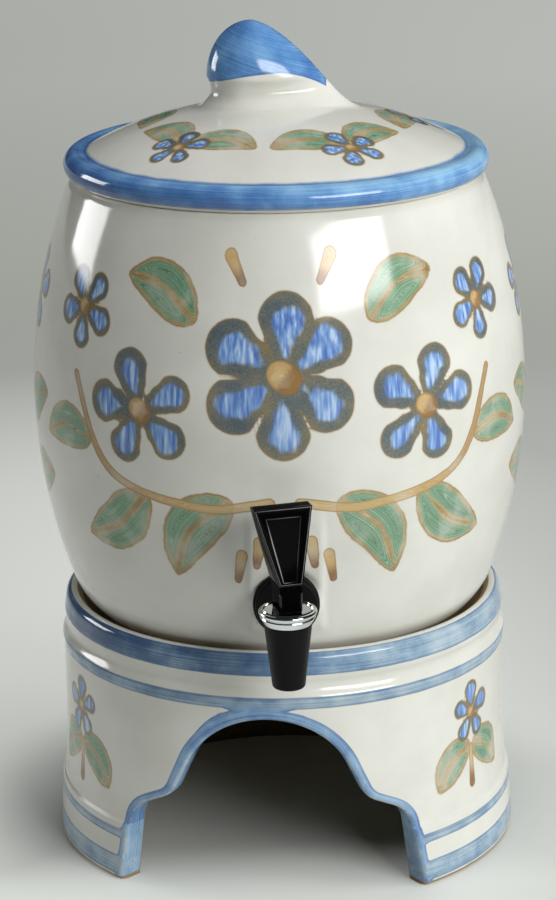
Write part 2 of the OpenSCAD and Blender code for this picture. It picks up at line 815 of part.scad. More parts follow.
// Front view of the lever
module lever_front() {
  top_w = paddle_w / 2;
  low_w = lever_w / 2;
  polygon([
    [-top_w + paddle_bevel, lever_h],
    [-top_w, lever_h - paddle_bevel],
    [-low_w, paddle_z],
    [-low_w, 0],
    [low_w, 0],
    [low_w, paddle_z],
    [top_w, lever_h - paddle_bevel],
    [top_w - paddle_bevel, lever_h],
  ]);
}

// Hollow of the paddle's face: a sloping frame round a flat panel, with Z up along the face
module paddle_hollow() {
  length = (lever_h - paddle_z) / cos(paddle_lean);
  out = panel_d / 4;
  function between(edge, panel) = edge + (edge - panel) * out / panel_d;
  function ring(y, low_w, low, top_w, top) =
    [[-low_w, y, low], [low_w, y, low], [top_w, y, length - top], [-top_w, y, length - top]];
  points = concat(
    ring(
      -out,
      between(lever_w / 2 - frame_edge, panel_low_w / 2),
      between(frame_edge, panel_low_in),
      between(paddle_w / 2 - frame_edge, panel_top_w / 2),
      between(frame_edge, panel_top_in)
    ),
    ring(panel_d, panel_low_w / 2, panel_low_in, panel_top_w / 2, panel_top_in)
  );
  frame = [for (k = [0:3]) let (n = (k + 1) % 4) each [[k, n, n + 4], [k, n + 4, k + 4]]];
  polyhedron(points = points, faces = concat([[3, 2, 1, 0]], [[4, 5, 6, 7]], frame));
}

// Lever: fork and heel on the collar's plate, with a framed paddle above
module lever() {
  slot_w = blade_t + 2 * fork_gap;
  pin_up = pin_z - plate_z;
  color("#121212")
  at_spout(plate_z)
  rotate([0, 0, lever_turn])
  difference() {
    intersection() {
      translate([-paddle_w, 0, 0])
        rotate([90, 0, 90])
          linear_extrude(height = 2 * paddle_w)
            lever_side();
      translate([0, lever_h, 0])
        rotate([90, 0, 0])
          linear_extrude(height = 2 * lever_h)
            lever_front();
    }
    translate([0, -lever_d / 2 - paddle_lip, paddle_z])
      rotate([-paddle_lean, 0, 0])
        paddle_hollow();
    translate([0, 0, pin_up])
      cross_rod(fork_roof, slot_w);
    translate([-slot_w / 2, -fork_roof, -past])
      cube([slot_w, fork_roof + lever_d, pin_up + past]);
    translate([-slot_w / 2, 0, -past])
      cube([slot_w, lever_d, pin_up + blade_up + past]);
    translate([0, 0, pin_up])
      cross_rod(pin_r + pin_gap, 2 * lever_w);
  }
}

// Pin that joins the lever's fork to the eye of the stem
module lever_pin() {
  color("#8c8e90")
  at_spout(pin_z)
  rotate([0, 0, lever_turn])
  cross_rod(pin_r, lever_w - 2 * pin_inset);
}

module outer_washer() {
  color("#1c1c1c")
  shank_ring(outer_washer_r, -outer_washer_t, outer_washer_t);
}

module inner_washer() {
  color("#242424")
  shank_ring(inner_washer_r, seat_t, inner_washer_t);
}

module slip_ring() {
  color("#e8e8e4")
  shank_ring(slip_r, seat_t + inner_washer_t, slip_t);
}

// Hexagonal lock nut that pulls the tap up to its seat
module lock_nut() {
  color("#181818")
  at_seat(seat_t + inner_washer_t + slip_t)
  difference() {
    cylinder(r = nut_flats / 2 / cos(30), h = nut_t, $fn = 6);
    translate([0, 0, -past])
      cylinder(r = shank_r + thread_gap, h = nut_t + 2 * past);
  }
}

stand();
crock();
lid();
tap_body();
tap_collar();
valve_cup();
lift_stem();
closing_spring();
lever();
lever_pin();
outer_washer();
inner_washer();
slip_ring();
lock_nut();
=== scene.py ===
import math

import bpy
import numpy as np
from mathutils import Matrix, Vector


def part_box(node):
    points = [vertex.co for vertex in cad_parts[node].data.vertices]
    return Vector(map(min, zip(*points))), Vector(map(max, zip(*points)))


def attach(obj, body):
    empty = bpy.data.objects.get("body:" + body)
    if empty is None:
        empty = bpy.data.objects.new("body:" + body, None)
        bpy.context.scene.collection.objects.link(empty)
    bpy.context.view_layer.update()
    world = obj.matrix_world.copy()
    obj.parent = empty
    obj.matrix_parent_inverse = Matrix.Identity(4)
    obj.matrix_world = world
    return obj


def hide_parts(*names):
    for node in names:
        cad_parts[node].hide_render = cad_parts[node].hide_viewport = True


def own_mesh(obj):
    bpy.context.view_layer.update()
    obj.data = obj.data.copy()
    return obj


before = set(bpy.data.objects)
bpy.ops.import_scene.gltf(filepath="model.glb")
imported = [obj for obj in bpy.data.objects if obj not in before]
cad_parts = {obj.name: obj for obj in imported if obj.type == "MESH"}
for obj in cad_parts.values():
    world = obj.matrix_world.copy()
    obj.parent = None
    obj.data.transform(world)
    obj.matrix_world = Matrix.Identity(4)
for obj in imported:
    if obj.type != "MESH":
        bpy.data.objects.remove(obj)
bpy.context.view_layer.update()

# Looks of the stoneware drink crock: glazed stand, barrel and lid with brush painting, and a black lever tap.
# Lengths are in millimetres, and MM brings them to metres
MM = 0.001
TAU = 2 * math.pi


def corners(node):
    """Lowest and highest corner of a CAD node at rest, in millimetres."""
    return [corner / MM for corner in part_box(node)]


_, stand_high = corners("stand")
crock_low, crock_high = corners("crock")
lid_low, lid_high = corners("lid")
washer_low, washer_high = corners("outer_washer")
body_low, body_high = corners("tap_body")
collar_low, collar_high = corners("tap_collar")
_, lever_high = corners("lever")
spring_low, spring_high = corners("closing_spring")

# Stand
stand_turn = math.radians(-5.5)
base_out = 5.5
base_lean = 2.0
wall_flare = 1.9
base_h = 35.0
flare_h = 30.0
foot_round = 3.5
stand_wall = 9.5
wall_top = 110.0
base_r = stand_high.x
stand_r = base_r - base_out
stand_in = stand_r - stand_wall
rim_z = stand_high.z
rim_round = 5.0
crest_in = 6.9
rim_w = 11.7
ledge_in = 20.0
ledge_t = 10.0

# Arch in the stand's front
arch_h = 107.8
crown_r = 48.5
knee = np.array([54.0, 58.5])
knee_round = 16.5
shoulder = np.array([75.7, 47.0])
shoulder_round = 18.0
leg_foot_w = 81.6
arch_edge = 2.6
arch_back_edge = 0.8

# Paint on the stand
stand_bands = ((3.6, 14.8), (25.6, 30.8), (114.3, 121.2), (133.2, rim_z))
crest_paint_a = math.radians(66)
border_w = 4.6
border_crown_w, border_crown_z = 2.0, (40, 100)
border_left_w, border_left_z = 2.2, (92, 102)
border_thin = 0.45
border_worn_w = 1.6
sprig_turns = (-60, 60, 180)
sprig_z = 76.0

# Bare clay of the stand: its height at the foot, and how deep in the clay its lip and inside count as. The
# inside counts deep enough to take the darker inner clay, partly painted shade in the stand's hollow.
bare_foot_h = 2.6
bare_lip, bare_inside, not_bare = -2, -9, 6
bare_lip_in = 0.8

# Painted light and shade in the stand's blue bands: their tone at the front, and what it gains to the right.
# Wall and rim are darker on the shaded left and paler on the lit right, partly also as thicker and thinner
# paint; the base is made paler on its shaded left.
base_painted_light = 0.04, -0.02
wall_light_and_paint = 0.015, 0.03
rim_light_and_paint = -0.045, 0.085
rim_light_and_paint_z = wall_top + 15

# Barrel
belly_r = min(crock_high.x, crock_high.y)
foot_z = crock_low.z
mouth_z = crock_high.z
belly_z = foot_z + 125.0
side_curve = 315.0
heel_h = 20.0
heel_curve = 40.0
crock_wall = 9.0
crock_floor = 11.0
mouth_round = 2.5
foot_ring_w = 15.0
foot_hollow = 2.0

# Flat seat of the tap
tap_z = (washer_low.z + washer_high.z) / 2
seat_y = -washer_high.y
washer_r = (washer_high.z - washer_low.z) / 2
washer_t = washer_high.y - washer_low.y
seat_r = washer_r + 0.75
seat_t = 14.0
strip_w = 40.0
strip_up = 60.0
strip_down = 18.0
strip_soft = 1.5
strip_soft_low = 2.0
strip_fade = 25.0
seat_soft_in, seat_soft_out = 0.6, 1.4
tap_hole_r = 9.5

# Paint on the barrel, by its turns from the front in degrees
garland_turns = (0, 180)
branch_turns = (-83, 83)

# Lid and knob
lid_r = lid_high.x
lid_roll = 7.0
dome_inset = 6.0
dome_drop = 0.5
dome_h = 39.0
dome_top = mouth_z + dome_h
lid_wall = 8.0
ring_t = 6.0
ring_gap = 2.0
mouth_slant = 1.08
ring_bevel = 1.5
knob_h = lid_high.z - dome_top
knob_full_h = 14.0
knob_round_x = 37.3
knob_tip_x = 25.7
knob_tail = 12.2
knob_peak_x = 12.5
knob_half_w = 22.0
knob_grip = 4.5
knob_slope = 0.645
knob_point_in = 1.25
knob_foot = 9.0
knob_foot_sink = 1.0
knob_field_r = 62.0

# Paint on the lid, with the angles round its rolled edge in degrees, and the painted light and shade in the
# rim's blue, partly also thicker and thinner paint: paler on top and to the lit right, deeper below and to
# the left
rim_from_r = 98.0
rim_paint_middle, rim_paint_half = 46, 88
rim_worn_a, rim_worn_half = -42, 10
knob_paint_up = 17.7
knob_paint_left, knob_paint_right = 0.0047, 0.0125
knob_paint_side = 28.5
knob_paint_x = -0.5
knob_streak_slant = 0.35
lid_light_and_paint_low, lid_light_and_paint_up, lid_light_and_paint_right = -0.065, 0.11, 0.08
lid_light_and_paint_a = (-40, 90)
sprig_count = 5
sprigs_to_r = 100

# Tap: depths run inwards from the seat, and heights run up from the shank's axis
spout_y = -(collar_low.y + collar_high.y) / 2
reach = spout_y - seat_y
shank_r = 8.0
shank_bore_r = 4.5
shank_end = body_high.y + seat_y
thread_pitch = 2.0
thread_depth = 0.6
flange_r = 16.5
flange_t = 3.0
flange_round = 1.0
arm_r = 6.2
arm_fillet = 2.5
spout_down = tap_z - body_low.z
spout_end_r = 8.7
spout_top_r = 12.5
spout_round = 1.6
outlet_r = 6.5
valve_down = 9.0
valve_seat_t = 4.0
valve_hole_r = 4.5
chamber_r = 8.63
neck_r = 11.7
neck_up = 10.0
collar_up = collar_low.z - tap_z
collar_top = collar_high.z - tap_z
collar_r = (collar_high.x - collar_low.x) / 2
collar_bead = 1.4
plate_low = 11.2
plate_up = 13.0
stem_hole_r = 4.1
plate_fillet = 0.9
stem_hole_edge = 0.4
skirt_in = 11.8
skirt_r = 14.4
skirt_low_r = 12.7
skirt_low_round = 0.4
skirt_round = 0.5
washer_round = 0.9
washer_gap = 0.1

# Lever, in its own frame: its front is -Y, and heights run from the collar's plate
lever_turn = math.radians(14.5)
lever_h = lever_high.z - tap_z - plate_up
lever_w = 12.4
lever_d = 14.0
lever_back = 13.5
paddle_w = 31.6
paddle_z = 15.6
paddle_t = 8.0
paddle_lean = math.radians(20)
paddle_lip = 0.8
under_h = 5.0
frame_edge = 1.0
panel_top_w = 18.8
panel_low_w = 7.0
panel_top_in = 5.0
panel_low_in = 2.0
panel_d = 1.4
heel_gap = 0.1
heel_round = 1.5
shank_round = 1.2
paddle_round = 0.7
paddle_top_round = 0.8
lip_round = 0.4
panel_round = 0.35
# Narrow faces of the lever under this width carry a painted glint
edge_glint_w = 0.7
pin_up = 1.6
pin_hole_r = 1.0
fork_roof = 5.4
fork_w = 4.6
blade_up = 3.4
wire_r = 0.4
spring_turns = 7


# How close a vertex lies to the place that a test asks for, and a place that no brush reaches
NEAR = 0.02
OFF = 1e4


def arc(cx, cy, r, start, end, steps):
    """Points on an arc, with its angles in degrees."""
    angles = np.radians(np.linspace(start, end, steps + 1))
    return [(cx + r * math.cos(a), cy + r * math.sin(a)) for a in angles]


def rounded_corner(a, b, c, r, steps):
    """Points on the rounding of the corner at b on the way from a to c."""
    to_a, to_c = np.linalg.norm(a - b), np.linalg.norm(c - b)
    u, v = (a - b) / to_a, (c - b) / to_c
    half = math.acos(u @ v) / 2
    away = min(r / math.tan(half), to_a / 2, to_c / 2)
    centre = b + (u + v) / np.linalg.norm(u + v) * away / math.cos(half)
    first, last = b + u * away - centre, b + v * away - centre
    start = math.degrees(math.atan2(first[1], first[0]))
    turn = math.degrees(math.atan2(last[1], last[0])) - start
    return arc(*centre, away * math.tan(half), start, start + (turn + 180) % 360 - 180, steps)


def smooth_step(low, high, value):
    t = np.clip((value - low) / (high - low), 0, 1)
    return t * t * (3 - 2 * t)


# Modelling helpers

def pick(*pieces):
    """Leaves edit mode, selects only these pieces and makes the last one active."""
    if bpy.context.object and bpy.context.object.mode != "OBJECT":
        bpy.ops.object.mode_set(mode="OBJECT")
    bpy.ops.object.select_all(action="DESELECT")
    for piece in pieces:
        piece.select_set(True)
        bpy.context.view_layer.objects.active = piece


def start_vertex(name, place):
    """A new piece in edit mode that is one vertex at a place."""
    pick()
    bpy.ops.mesh.primitive_plane_add(size=MM)
    piece = bpy.context.object
    piece.name = name
    bpy.ops.object.mode_set(mode="EDIT")
    bpy.ops.mesh.select_mode(type="VERT")
    bpy.ops.mesh.select_all(action="SELECT")
    bpy.ops.mesh.merge(type="CENTER")
    bpy.ops.transform.translate(value=Vector(place) * MM)
    return piece


def draw_on(places):
    """Extrudes the selected vertex from place to place, as a chain of edges."""
    for a, b in zip(places, places[1:]):
        step = (Vector(b) - Vector(a)) * MM
        bpy.ops.mesh.extrude_vertices_move(TRANSFORM_OT_translate={"value": step})


def tidy_mesh(piece, threshold=0.002):
    """Merges doubles and points every face outwards."""
    pick(piece)
    bpy.ops.object.mode_set(mode="EDIT")
    bpy.ops.mesh.select_all(action="SELECT")
    bpy.ops.mesh.remove_doubles(threshold=threshold * MM)
    bpy.ops.mesh.normals_make_consistent(inside=False)
    bpy.ops.object.mode_set(mode="OBJECT")


def turned(name, profile, steps):
    """A profile of (radius, height) points spun round the Z axis."""
    places = [(r, 0, z) for r, z in profile]
    piece = start_vertex(name, places[0])
    draw_on(places)
    bpy.ops.mesh.select_all(action="SELECT")
    bpy.ops.mesh.spin(steps=steps, angle=TAU, center=(0, 0, 0), axis=(0, 0, 1))
    tidy_mesh(piece)
    return piece


def get_points(piece):
    """The piece's vertices, in millimetres."""
    co = np.zeros(len(piece.data.vertices) * 3)
    piece.data.vertices.foreach_get("co", co)
    return co.reshape(-1, 3) / MM


def set_points(piece, points):
    piece.data.vertices.foreach_set("co", (points * MM).ravel())
    piece.data.update()


def stand_on_spout(piece):
    """Moves a piece from the origin to the spout's axis, at the height of the shank."""
    set_points(piece, get_points(piece) + (0, -spout_y, tap_z))


def lay_on_shank(piece):
    """Lays a piece that was spun round Z along the shank, with its heights as depths from the seat."""
    x, y, z = get_points(piece).T
    set_points(piece, np.stack([x, z - seat_y, tap_z - y], 1))


def select_where(piece, test, kind):
    """In edit mode, selects the edges or faces of which every vertex passes a test of its place."""
    pick(piece)
    bpy.ops.object.mode_set(mode="EDIT")
    bpy.ops.mesh.select_mode(type=kind)
    bpy.ops.mesh.select_all(action="DESELECT")
    bpy.ops.object.mode_set(mode="OBJECT")
    passed = test(get_points(piece))
    for part in (piece.data.edges if kind == "EDGE" else piece.data.polygons):
        part.select = bool(passed[list(part.vertices)].all())
    bpy.ops.object.mode_set(mode="EDIT")


def round_edges(piece, tests, width, segments):
    """Bevels the edges of which both ends pass one of the tests."""
    for test in tests:
        select_where(piece, test, "EDGE")
        bpy.ops.mesh.bevel(offset=width * MM, offset_type="OFFSET", segments=segments, profile=0.5)
    pick(piece)


def combine(piece, other, operation):
    """Cuts or joins two pieces, and removes the second."""
    pick(piece)
    modifier = piece.modifiers.new("Combine", "BOOLEAN")
    modifier.object, modifier.operation, modifier.solver = other, operation, "EXACT"
    bpy.ops.object.modifier_apply(modifier=modifier.name)
    bpy.data.objects.remove(other)


def cut_rod(piece, r, length, place, axis):
    """Cuts a round hole centred on a place, along X or Y."""
    pick()
    turn = (0, math.pi / 2, 0) if axis == "X" else (math.pi / 2, 0, 0)
    bpy.ops.mesh.primitive_cylinder_add(vertices=64, radius=r * MM, depth=length * MM,
                                        location=Vector(place) * MM, rotation=turn)
    combine(piece, bpy.context.object, "DIFFERENCE")


def cut_block(piece, low, high):
    """Cuts a block out between two corners."""
    low, high = Vector(low) * MM, Vector(high) * MM
    pick()
    bpy.ops.mesh.primitive_cube_add(size=1, location=(low + high) / 2, scale=high - low)
    combine(piece, bpy.context.object, "DIFFERENCE")


def smooth(piece, angle):
    pick(piece)
    bpy.ops.object.shade_smooth_by_angle(angle=math.radians(angle))


def store(piece, name, values):
    """Keeps one number for each vertex, which the glaze reads."""
    attribute = piece.data.attributes.new(name, "FLOAT", "POINT")
    attribute.data.foreach_set("value", np.asarray(values, np.float32))


# Brush painting: each field holds a distance in millimetres, below zero inside the stroke

FAR = 12.0


def curve_through(points, per_span=7):
    """A smooth curve through a few points."""
    p = [np.array(q, float) for q in points]
    if len(p) == 2:
        return np.array([p[0], (p[0] + p[1]) / 2, p[1]])
    p = [2 * p[0] - p[1]] + p + [2 * p[-1] - p[-2]]
    spans = []
    for a, b, c, d in zip(p, p[1:], p[2:], p[3:]):
        for t in np.linspace(0, 1, per_span, endpoint=False):
            spans.append(0.5 * (2 * b + (c - a) * t + (2 * a - 5 * b + 4 * c - d) * t**2
                                + (3 * b - a - 3 * c + d) * t**3))
    return np.array(spans + [p[-2]])


def stroke_distance(u, v, path, half_widths):
    """Which points lie near a stroke, how far each is from its edge, from its middle line and along it."""
    low, high = path.min(0) - FAR - max(half_widths), path.max(0) + FAR + max(half_widths)
    near = np.nonzero((u > low[0]) & (u < high[0]) & (v > low[1]) & (v < high[1]))[0]
    spot = np.stack([u[near], v[near]], 1)
    edge, middle, along = np.full(len(near), FAR), np.full(len(near), FAR), np.zeros(len(near))
    for k, (a, b, wa, wb) in enumerate(zip(path, path[1:], half_widths, half_widths[1:])):
        way = b - a
        t = np.clip(((spot - a) @ way) / max(way @ way, 1e-9), 0, 1)
        gap = np.linalg.norm(spot - a - t[:, None] * way, axis=1)
        closer = gap - wa - (wb - wa) * t < edge
        edge = np.where(closer, gap - wa - (wb - wa) * t, edge)
        along = np.where(closer, (k + t) / (len(path) - 1), along)
        middle = np.minimum(middle, gap)
    return near, edge, middle, along


class Painting:
    """The brush strokes on one piece, as distance fields over its vertices."""

    def __init__(self, count):
        self.petal = np.full(count, FAR)
        self.heart = np.zeros(count)
        self.leaf = np.full(count, FAR)
        self.line = np.full(count, FAR)
        self.pool = np.zeros(count)
        self.chance = np.random.default_rng(4)
        self.place(np.zeros(count), np.zeros(count))

    def place(self, u, v):
        """Sets the flat places of the vertices that the next strokes are drawn on."""
        self.u = u
        self.v = v

    def add_petal(self, start, end, w0, w1):
        path = curve_through([start, end])
        near, edge, _, _ = stroke_distance(self.u, self.v, path, [w0, (w0 + w1) / 2, w1])
        first = self.petal[near]
        self.heart[near] = np.where(edge < first, -edge / w1, self.heart[near])
        self.petal[near] = np.minimum(first, edge)

    def add_leaf(self, base, tip, width, bend):
        base, tip = np.array(base, float), np.array(tip, float)
        side = np.array([base[1] - tip[1], tip[0] - base[0]])
        path = curve_through([base, (base + tip) / 2 + bend * side, tip])
        t = np.linspace(0, 1, len(path))
        half = width / 2 * np.sin(math.pi * t**0.8)**0.9
        near, edge, middle, _ = stroke_distance(self.u, self.v, path, half)
        self.leaf[near] = np.minimum(self.leaf[near], np.maximum(edge, -0.8 * middle - 0.4))

    def add_line(self, points, w0, w1, pool=0.0):
        """A stroke from one width to another, in which colour gathers towards its end."""
        path = curve_through(points)
        near, edge, _, along = stroke_distance(self.u, self.v, path, np.linspace(w0, w1, len(path)) / 2)
        gathered = pool * smooth_step(0.35, 0.9, along)
        self.pool[near] = np.where(edge < self.line[near], gathered, self.pool[near])
        self.line[near] = np.minimum(self.line[near], edge)

    def add_blossom(self, at, size, petals, turn=0.0):
        at = np.array(at, float)
        for k in range(petals):
            uneven = self.chance.uniform(-1, 1, 3)
            a = math.radians(turn + 5 * uneven[0]) + TAU * k / petals
            way = np.array([math.sin(a), math.cos(a)])
            reach, wide = size * (0.66 + 0.05 * uneven[1]), size * (0.33 + 0.03 * uneven[2])
            self.add_petal(at + 0.3 * size * way, at + reach * way, 0.17 * size, wide)
        self.add_line([at + (-0.04 * size, 0.03 * size), at + (0.04 * size, -0.03 * size)],
                      0.34 * size, 0.38 * size, 0.8)

    def store_on(self, piece):
        for name in ("petal", "heart", "leaf", "line", "pool"):
            store(piece, name, getattr(self, name))


def turn_from(points, centre):
    """Angle of each vertex about the Z axis in radians, from a centre given in degrees from the front."""
    angle = np.arctan2(points[:, 0], -points[:, 1]) - math.radians(centre)
    return (angle + math.pi) % TAU - math.pi


# Stand

def arch_outline():
    """Right half of the arch from its crown to the floor, as half widths and heights."""
    crown_z = arch_h - crown_r
    away = knee - (0, crown_z)
    lean = math.atan2(away[1], away[0]) + math.acos(crown_r / np.linalg.norm(away))
    half = arc(0, crown_z, crown_r, 90, math.degrees(lean), 20)
    half += rounded_corner(np.array(half[-1]), knee, shoulder, knee_round, 10)
    foot = np.array([leg_foot_w, 0])
    return half + rounded_corner(knee, shoulder, foot, shoulder_round, 14) + [(leg_foot_w, 0)]


def flat_arch():
    """The whole arch laid out flat from left to right: arc lengths along the wall, and heights."""
    right = [(stand_r * math.asin(w / stand_r), z) for w, z in arch_outline()]
    left = [(-x, z) for x, z in reversed(right[1:])]
    return left + right


def base_profile():
    """Outside of the stand's wall from the floor up to the raised ring."""
    step = base_out - base_lean - wall_flare
    step_up = step * math.sin(math.radians(60))
    line = arc(base_r - foot_round, foot_round, foot_round, -90, 0, 7)
    line += arc(base_r - base_lean - step, base_h - step_up, step, 0, 60, 5)
    line += arc(stand_r + wall_flare + step, base_h + step_up, step, 230, 180, 4)
    return line + [(stand_r, base_h + flare_h), (stand_r, wall_top)]


def wall_r(z):
    """Outer radius of the stand's wall at a height."""
    line = base_profile()
    return np.interp(z, [h for _, h in line], [r for r, _ in line])


def top_profile():
    """The stand's raised ring, groove, rolled rim, lip and ledge, from outside to inside."""
    bead_r, bead_out, bead_z = 5.0, 0.7, rim_z - 26
    groove_r, groove_in, groove_z = 6.0, 2.2, rim_z - 18.2
    roll_z, roll_in = rim_z - 11.5, 0.9
    crest_r, rim_in, edge_in = stand_r - crest_in, stand_r - rim_w, stand_in - ledge_in
    lip, edge = 1.2, 2.0
    line = [(stand_r, wall_top), (stand_r, wall_top + 3)]
    line += arc(stand_r + bead_out - bead_r, bead_z, bead_r, -30, 40, 9)
    line += arc(stand_r - groove_in + groove_r, groove_z, groove_r, 215, 145, 8)
    line += arc(crest_r, roll_z, stand_r - roll_in - crest_r, -4, 14, 4)
    line += arc(crest_r, rim_z - rim_round, rim_round, 8, 108, 10)
    line += arc(rim_in + lip, rim_z - 3 - lip, lip, 110, 180, 4)
    line += [(rim_in, foot_z + 2), (rim_in - 0.6, foot_z), (rim_in - 4, foot_z)]
    line += arc(edge_in + edge, foot_z - edge, edge, 90, 180, 4)
    line += arc(edge_in + edge, foot_z - ledge_t + edge, edge, 180, 235, 4)
    return line + [(stand_in, wall_top + 1.5), (stand_in, wall_top)]


def make_stand(columns=420):
    """The wall is cut flat with its arch, gets its rounded edges, and is then wrapped round the axis."""
    half_length = stand_r * math.pi
    arch = flat_arch()
    outline = [(-half_length, 0)] + arch
    outline += [(half_length, 0), (half_length, wall_top), (-half_length, wall_top)]
    places = [(x, 0, z) for x, z in outline]
    wall = start_vertex("glazed_stand", places[0])
    draw_on(places)
    bpy.ops.mesh.select_all(action="SELECT")
    bpy.ops.mesh.edge_face_add()
    bpy.ops.mesh.extrude_region_move(TRANSFORM_OT_translate={"value": (0, -stand_wall * MM, 0)})
    tidy_mesh(wall)
    bevel_arch(wall, arch)
    heights = [z for _, z in base_profile()[1:-1]]
    heights += list(np.linspace(foot_round, base_h - 2, 11)[1:])
    heights += list(np.linspace(base_h + 4, wall_top, 34)[:-1])
    for z in sorted(set(round(h, 3) for h in heights)):
        cut_wall((0, 0, z * MM), (0, 0, 1))
    for k in range(1, columns):
        cut_wall(((-half_length + 2 * half_length * k / columns) * MM, 0, 0), (1, 0, 0))
    bpy.ops.object.mode_set(mode="OBJECT")
    wrap_wall(wall)
    rim = turned("stand_rim", top_profile(), columns)
    pick(rim, wall)
    bpy.ops.object.join()
    tidy_mesh(wall, 0.05)
    return wall


def bevel_arch(wall, arch):
    """Rounds both long edges of the arch on the flat wall, and stays in edit mode."""
    spots = {(round(x, 2), round(z, 2)) for x, z in arch}

    def on_arch(points):
        return np.array([(round(p[0], 2), round(p[2], 2)) in spots for p in points])

    for y, width, segments in ((0, arch_back_edge, 2), (-stand_wall, arch_edge, 5)):
        select_where(wall, lambda p: on_arch(p) & (np.abs(p[:, 1] - y) < NEAR), "EDGE")
        bpy.ops.mesh.bevel(offset=width * MM, offset_type="OFFSET", segments=segments, profile=0.5,
                           clamp_overlap=False)
    bpy.ops.mesh.select_mode(type="VERT")


def cut_wall(place, normal):
    bpy.ops.mesh.select_all(action="SELECT")
    bpy.ops.mesh.bisect(plane_co=place, plane_no=normal)


def wrap_wall(wall):
    """Rolls the flat wall into a ring, open where the rim and its own two ends join it."""
    half_length = stand_r * math.pi
    for test in (lambda p: np.abs(p[:, 2] - wall_top) < NEAR,
                 lambda p: np.abs(p[:, 0] - half_length) < NEAR,
                 lambda p: np.abs(p[:, 0] + half_length) < NEAR):
        select_where(wall, test, "FACE")
        bpy.ops.mesh.delete(type="FACE")
    bpy.ops.mesh.select_mode(type="VERT")
    bpy.ops.object.mode_set(mode="OBJECT")
    points = get_points(wall)
    radius = stand_in + (wall_r(points[:, 2]) - stand_in) * -points[:, 1] / stand_wall
    angle = points[:, 0] / stand_r + stand_turn
    points[:, 0] = radius * np.sin(angle)
    points[:, 1] = -radius * np.cos(angle)
    set_points(wall, points)


def paint_stand(stand):
    points = get_points(stand)
    painting = Painting(len(points))
    radius = np.hypot(points[:, 0], points[:, 1])
    z = points[:, 2]
    outside = radius > stand_in + 3
    turn = turn_from(points, math.degrees(stand_turn))
    band = np.full(len(points), FAR)
    for low, high in stand_bands:
        band = np.minimum(band, np.abs(z - (low + high) / 2) - (high - low) / 2)
    crest = np.arctan2(z - rim_z + rim_round, radius - stand_r + crest_in) - crest_paint_a
    band = np.where(z > rim_z - rim_round, rim_round * crest, np.where(outside, band, FAR))
    across = z.copy()
    arch = np.array(flat_arch())
    widths = border_w + border_crown_w * smooth_step(*border_crown_z, arch[:, 1])
    widths += np.where(arch[:, 0] < 0, border_left_w, 0) * smooth_step(*border_left_z, arch[:, 1])
    near, edge, middle, _ = stroke_distance(turn * stand_r, z, arch, widths)
    across[near] = np.where(edge < band[near], middle + stand_r - radius[near], across[near])
    thin = np.ones(len(points))
    thin[near] = np.where(edge < band[near], border_thin, 1)
    band[near] = np.minimum(band[near], edge)
    depth = wall_r(z[near]) - radius[near]
    worn = np.zeros(len(points))
    on_edge = (middle < arch_edge) & (depth < arch_edge)
    worn[near] = np.where(on_edge, 1 - np.abs(middle - depth) / border_worn_w, 0)
    for centre in sprig_turns:
        place = turn_from(points, centre + math.degrees(stand_turn))
        painting.place(np.where(outside, place * stand_r, OFF), z - sprig_z)
        painting.add_blossom((0, 14), 18, 5)
        for side in (-1, 1):
            painting.add_leaf((side * 3, -5), (side * 30, -26), 23, side * 0.14)
        painting.add_line([(0, -6), (0, -28)], 3.5, 6, 1.0)
    painting.store_on(stand)
    lip_inside = (radius < stand_r - crest_in - bare_lip_in) & (z > wall_top)
    bare = np.minimum(z - bare_foot_h, np.where(lip_inside, bare_lip, not_bare))
    # The stand's inside counts deepest, which gives it the darker clay, partly painted shade in its hollow
    bare = np.where((radius < stand_in + 0.4) & (z < wall_top + 0.1), bare_inside, bare)
    store(stand, "band", np.where(radius > stand_in + 0.6, band, FAR))
    store(stand, "across", across)
    store(stand, "thin", thin)
    # Painted light and shade in the bands: the wall and rim darker on the shaded left and paler on the lit
    # right, the base paler on its shaded left
    right = np.sin(turn)
    on_base, on_wall, on_rim = (at + gain * right for at, gain in (base_painted_light, wall_light_and_paint, rim_light_and_paint))
    store(stand, "light_and_paint", np.where(z > rim_light_and_paint_z, on_rim, np.where(z < base_h, on_base, on_wall)))
    store(stand, "bare", bare)
    store(stand, "worn", np.clip(worn, 0, 1))


# Barrel

def side_r(z):
    return belly_r - side_curve + np.sqrt(side_curve**2 - (z - belly_z)**2)


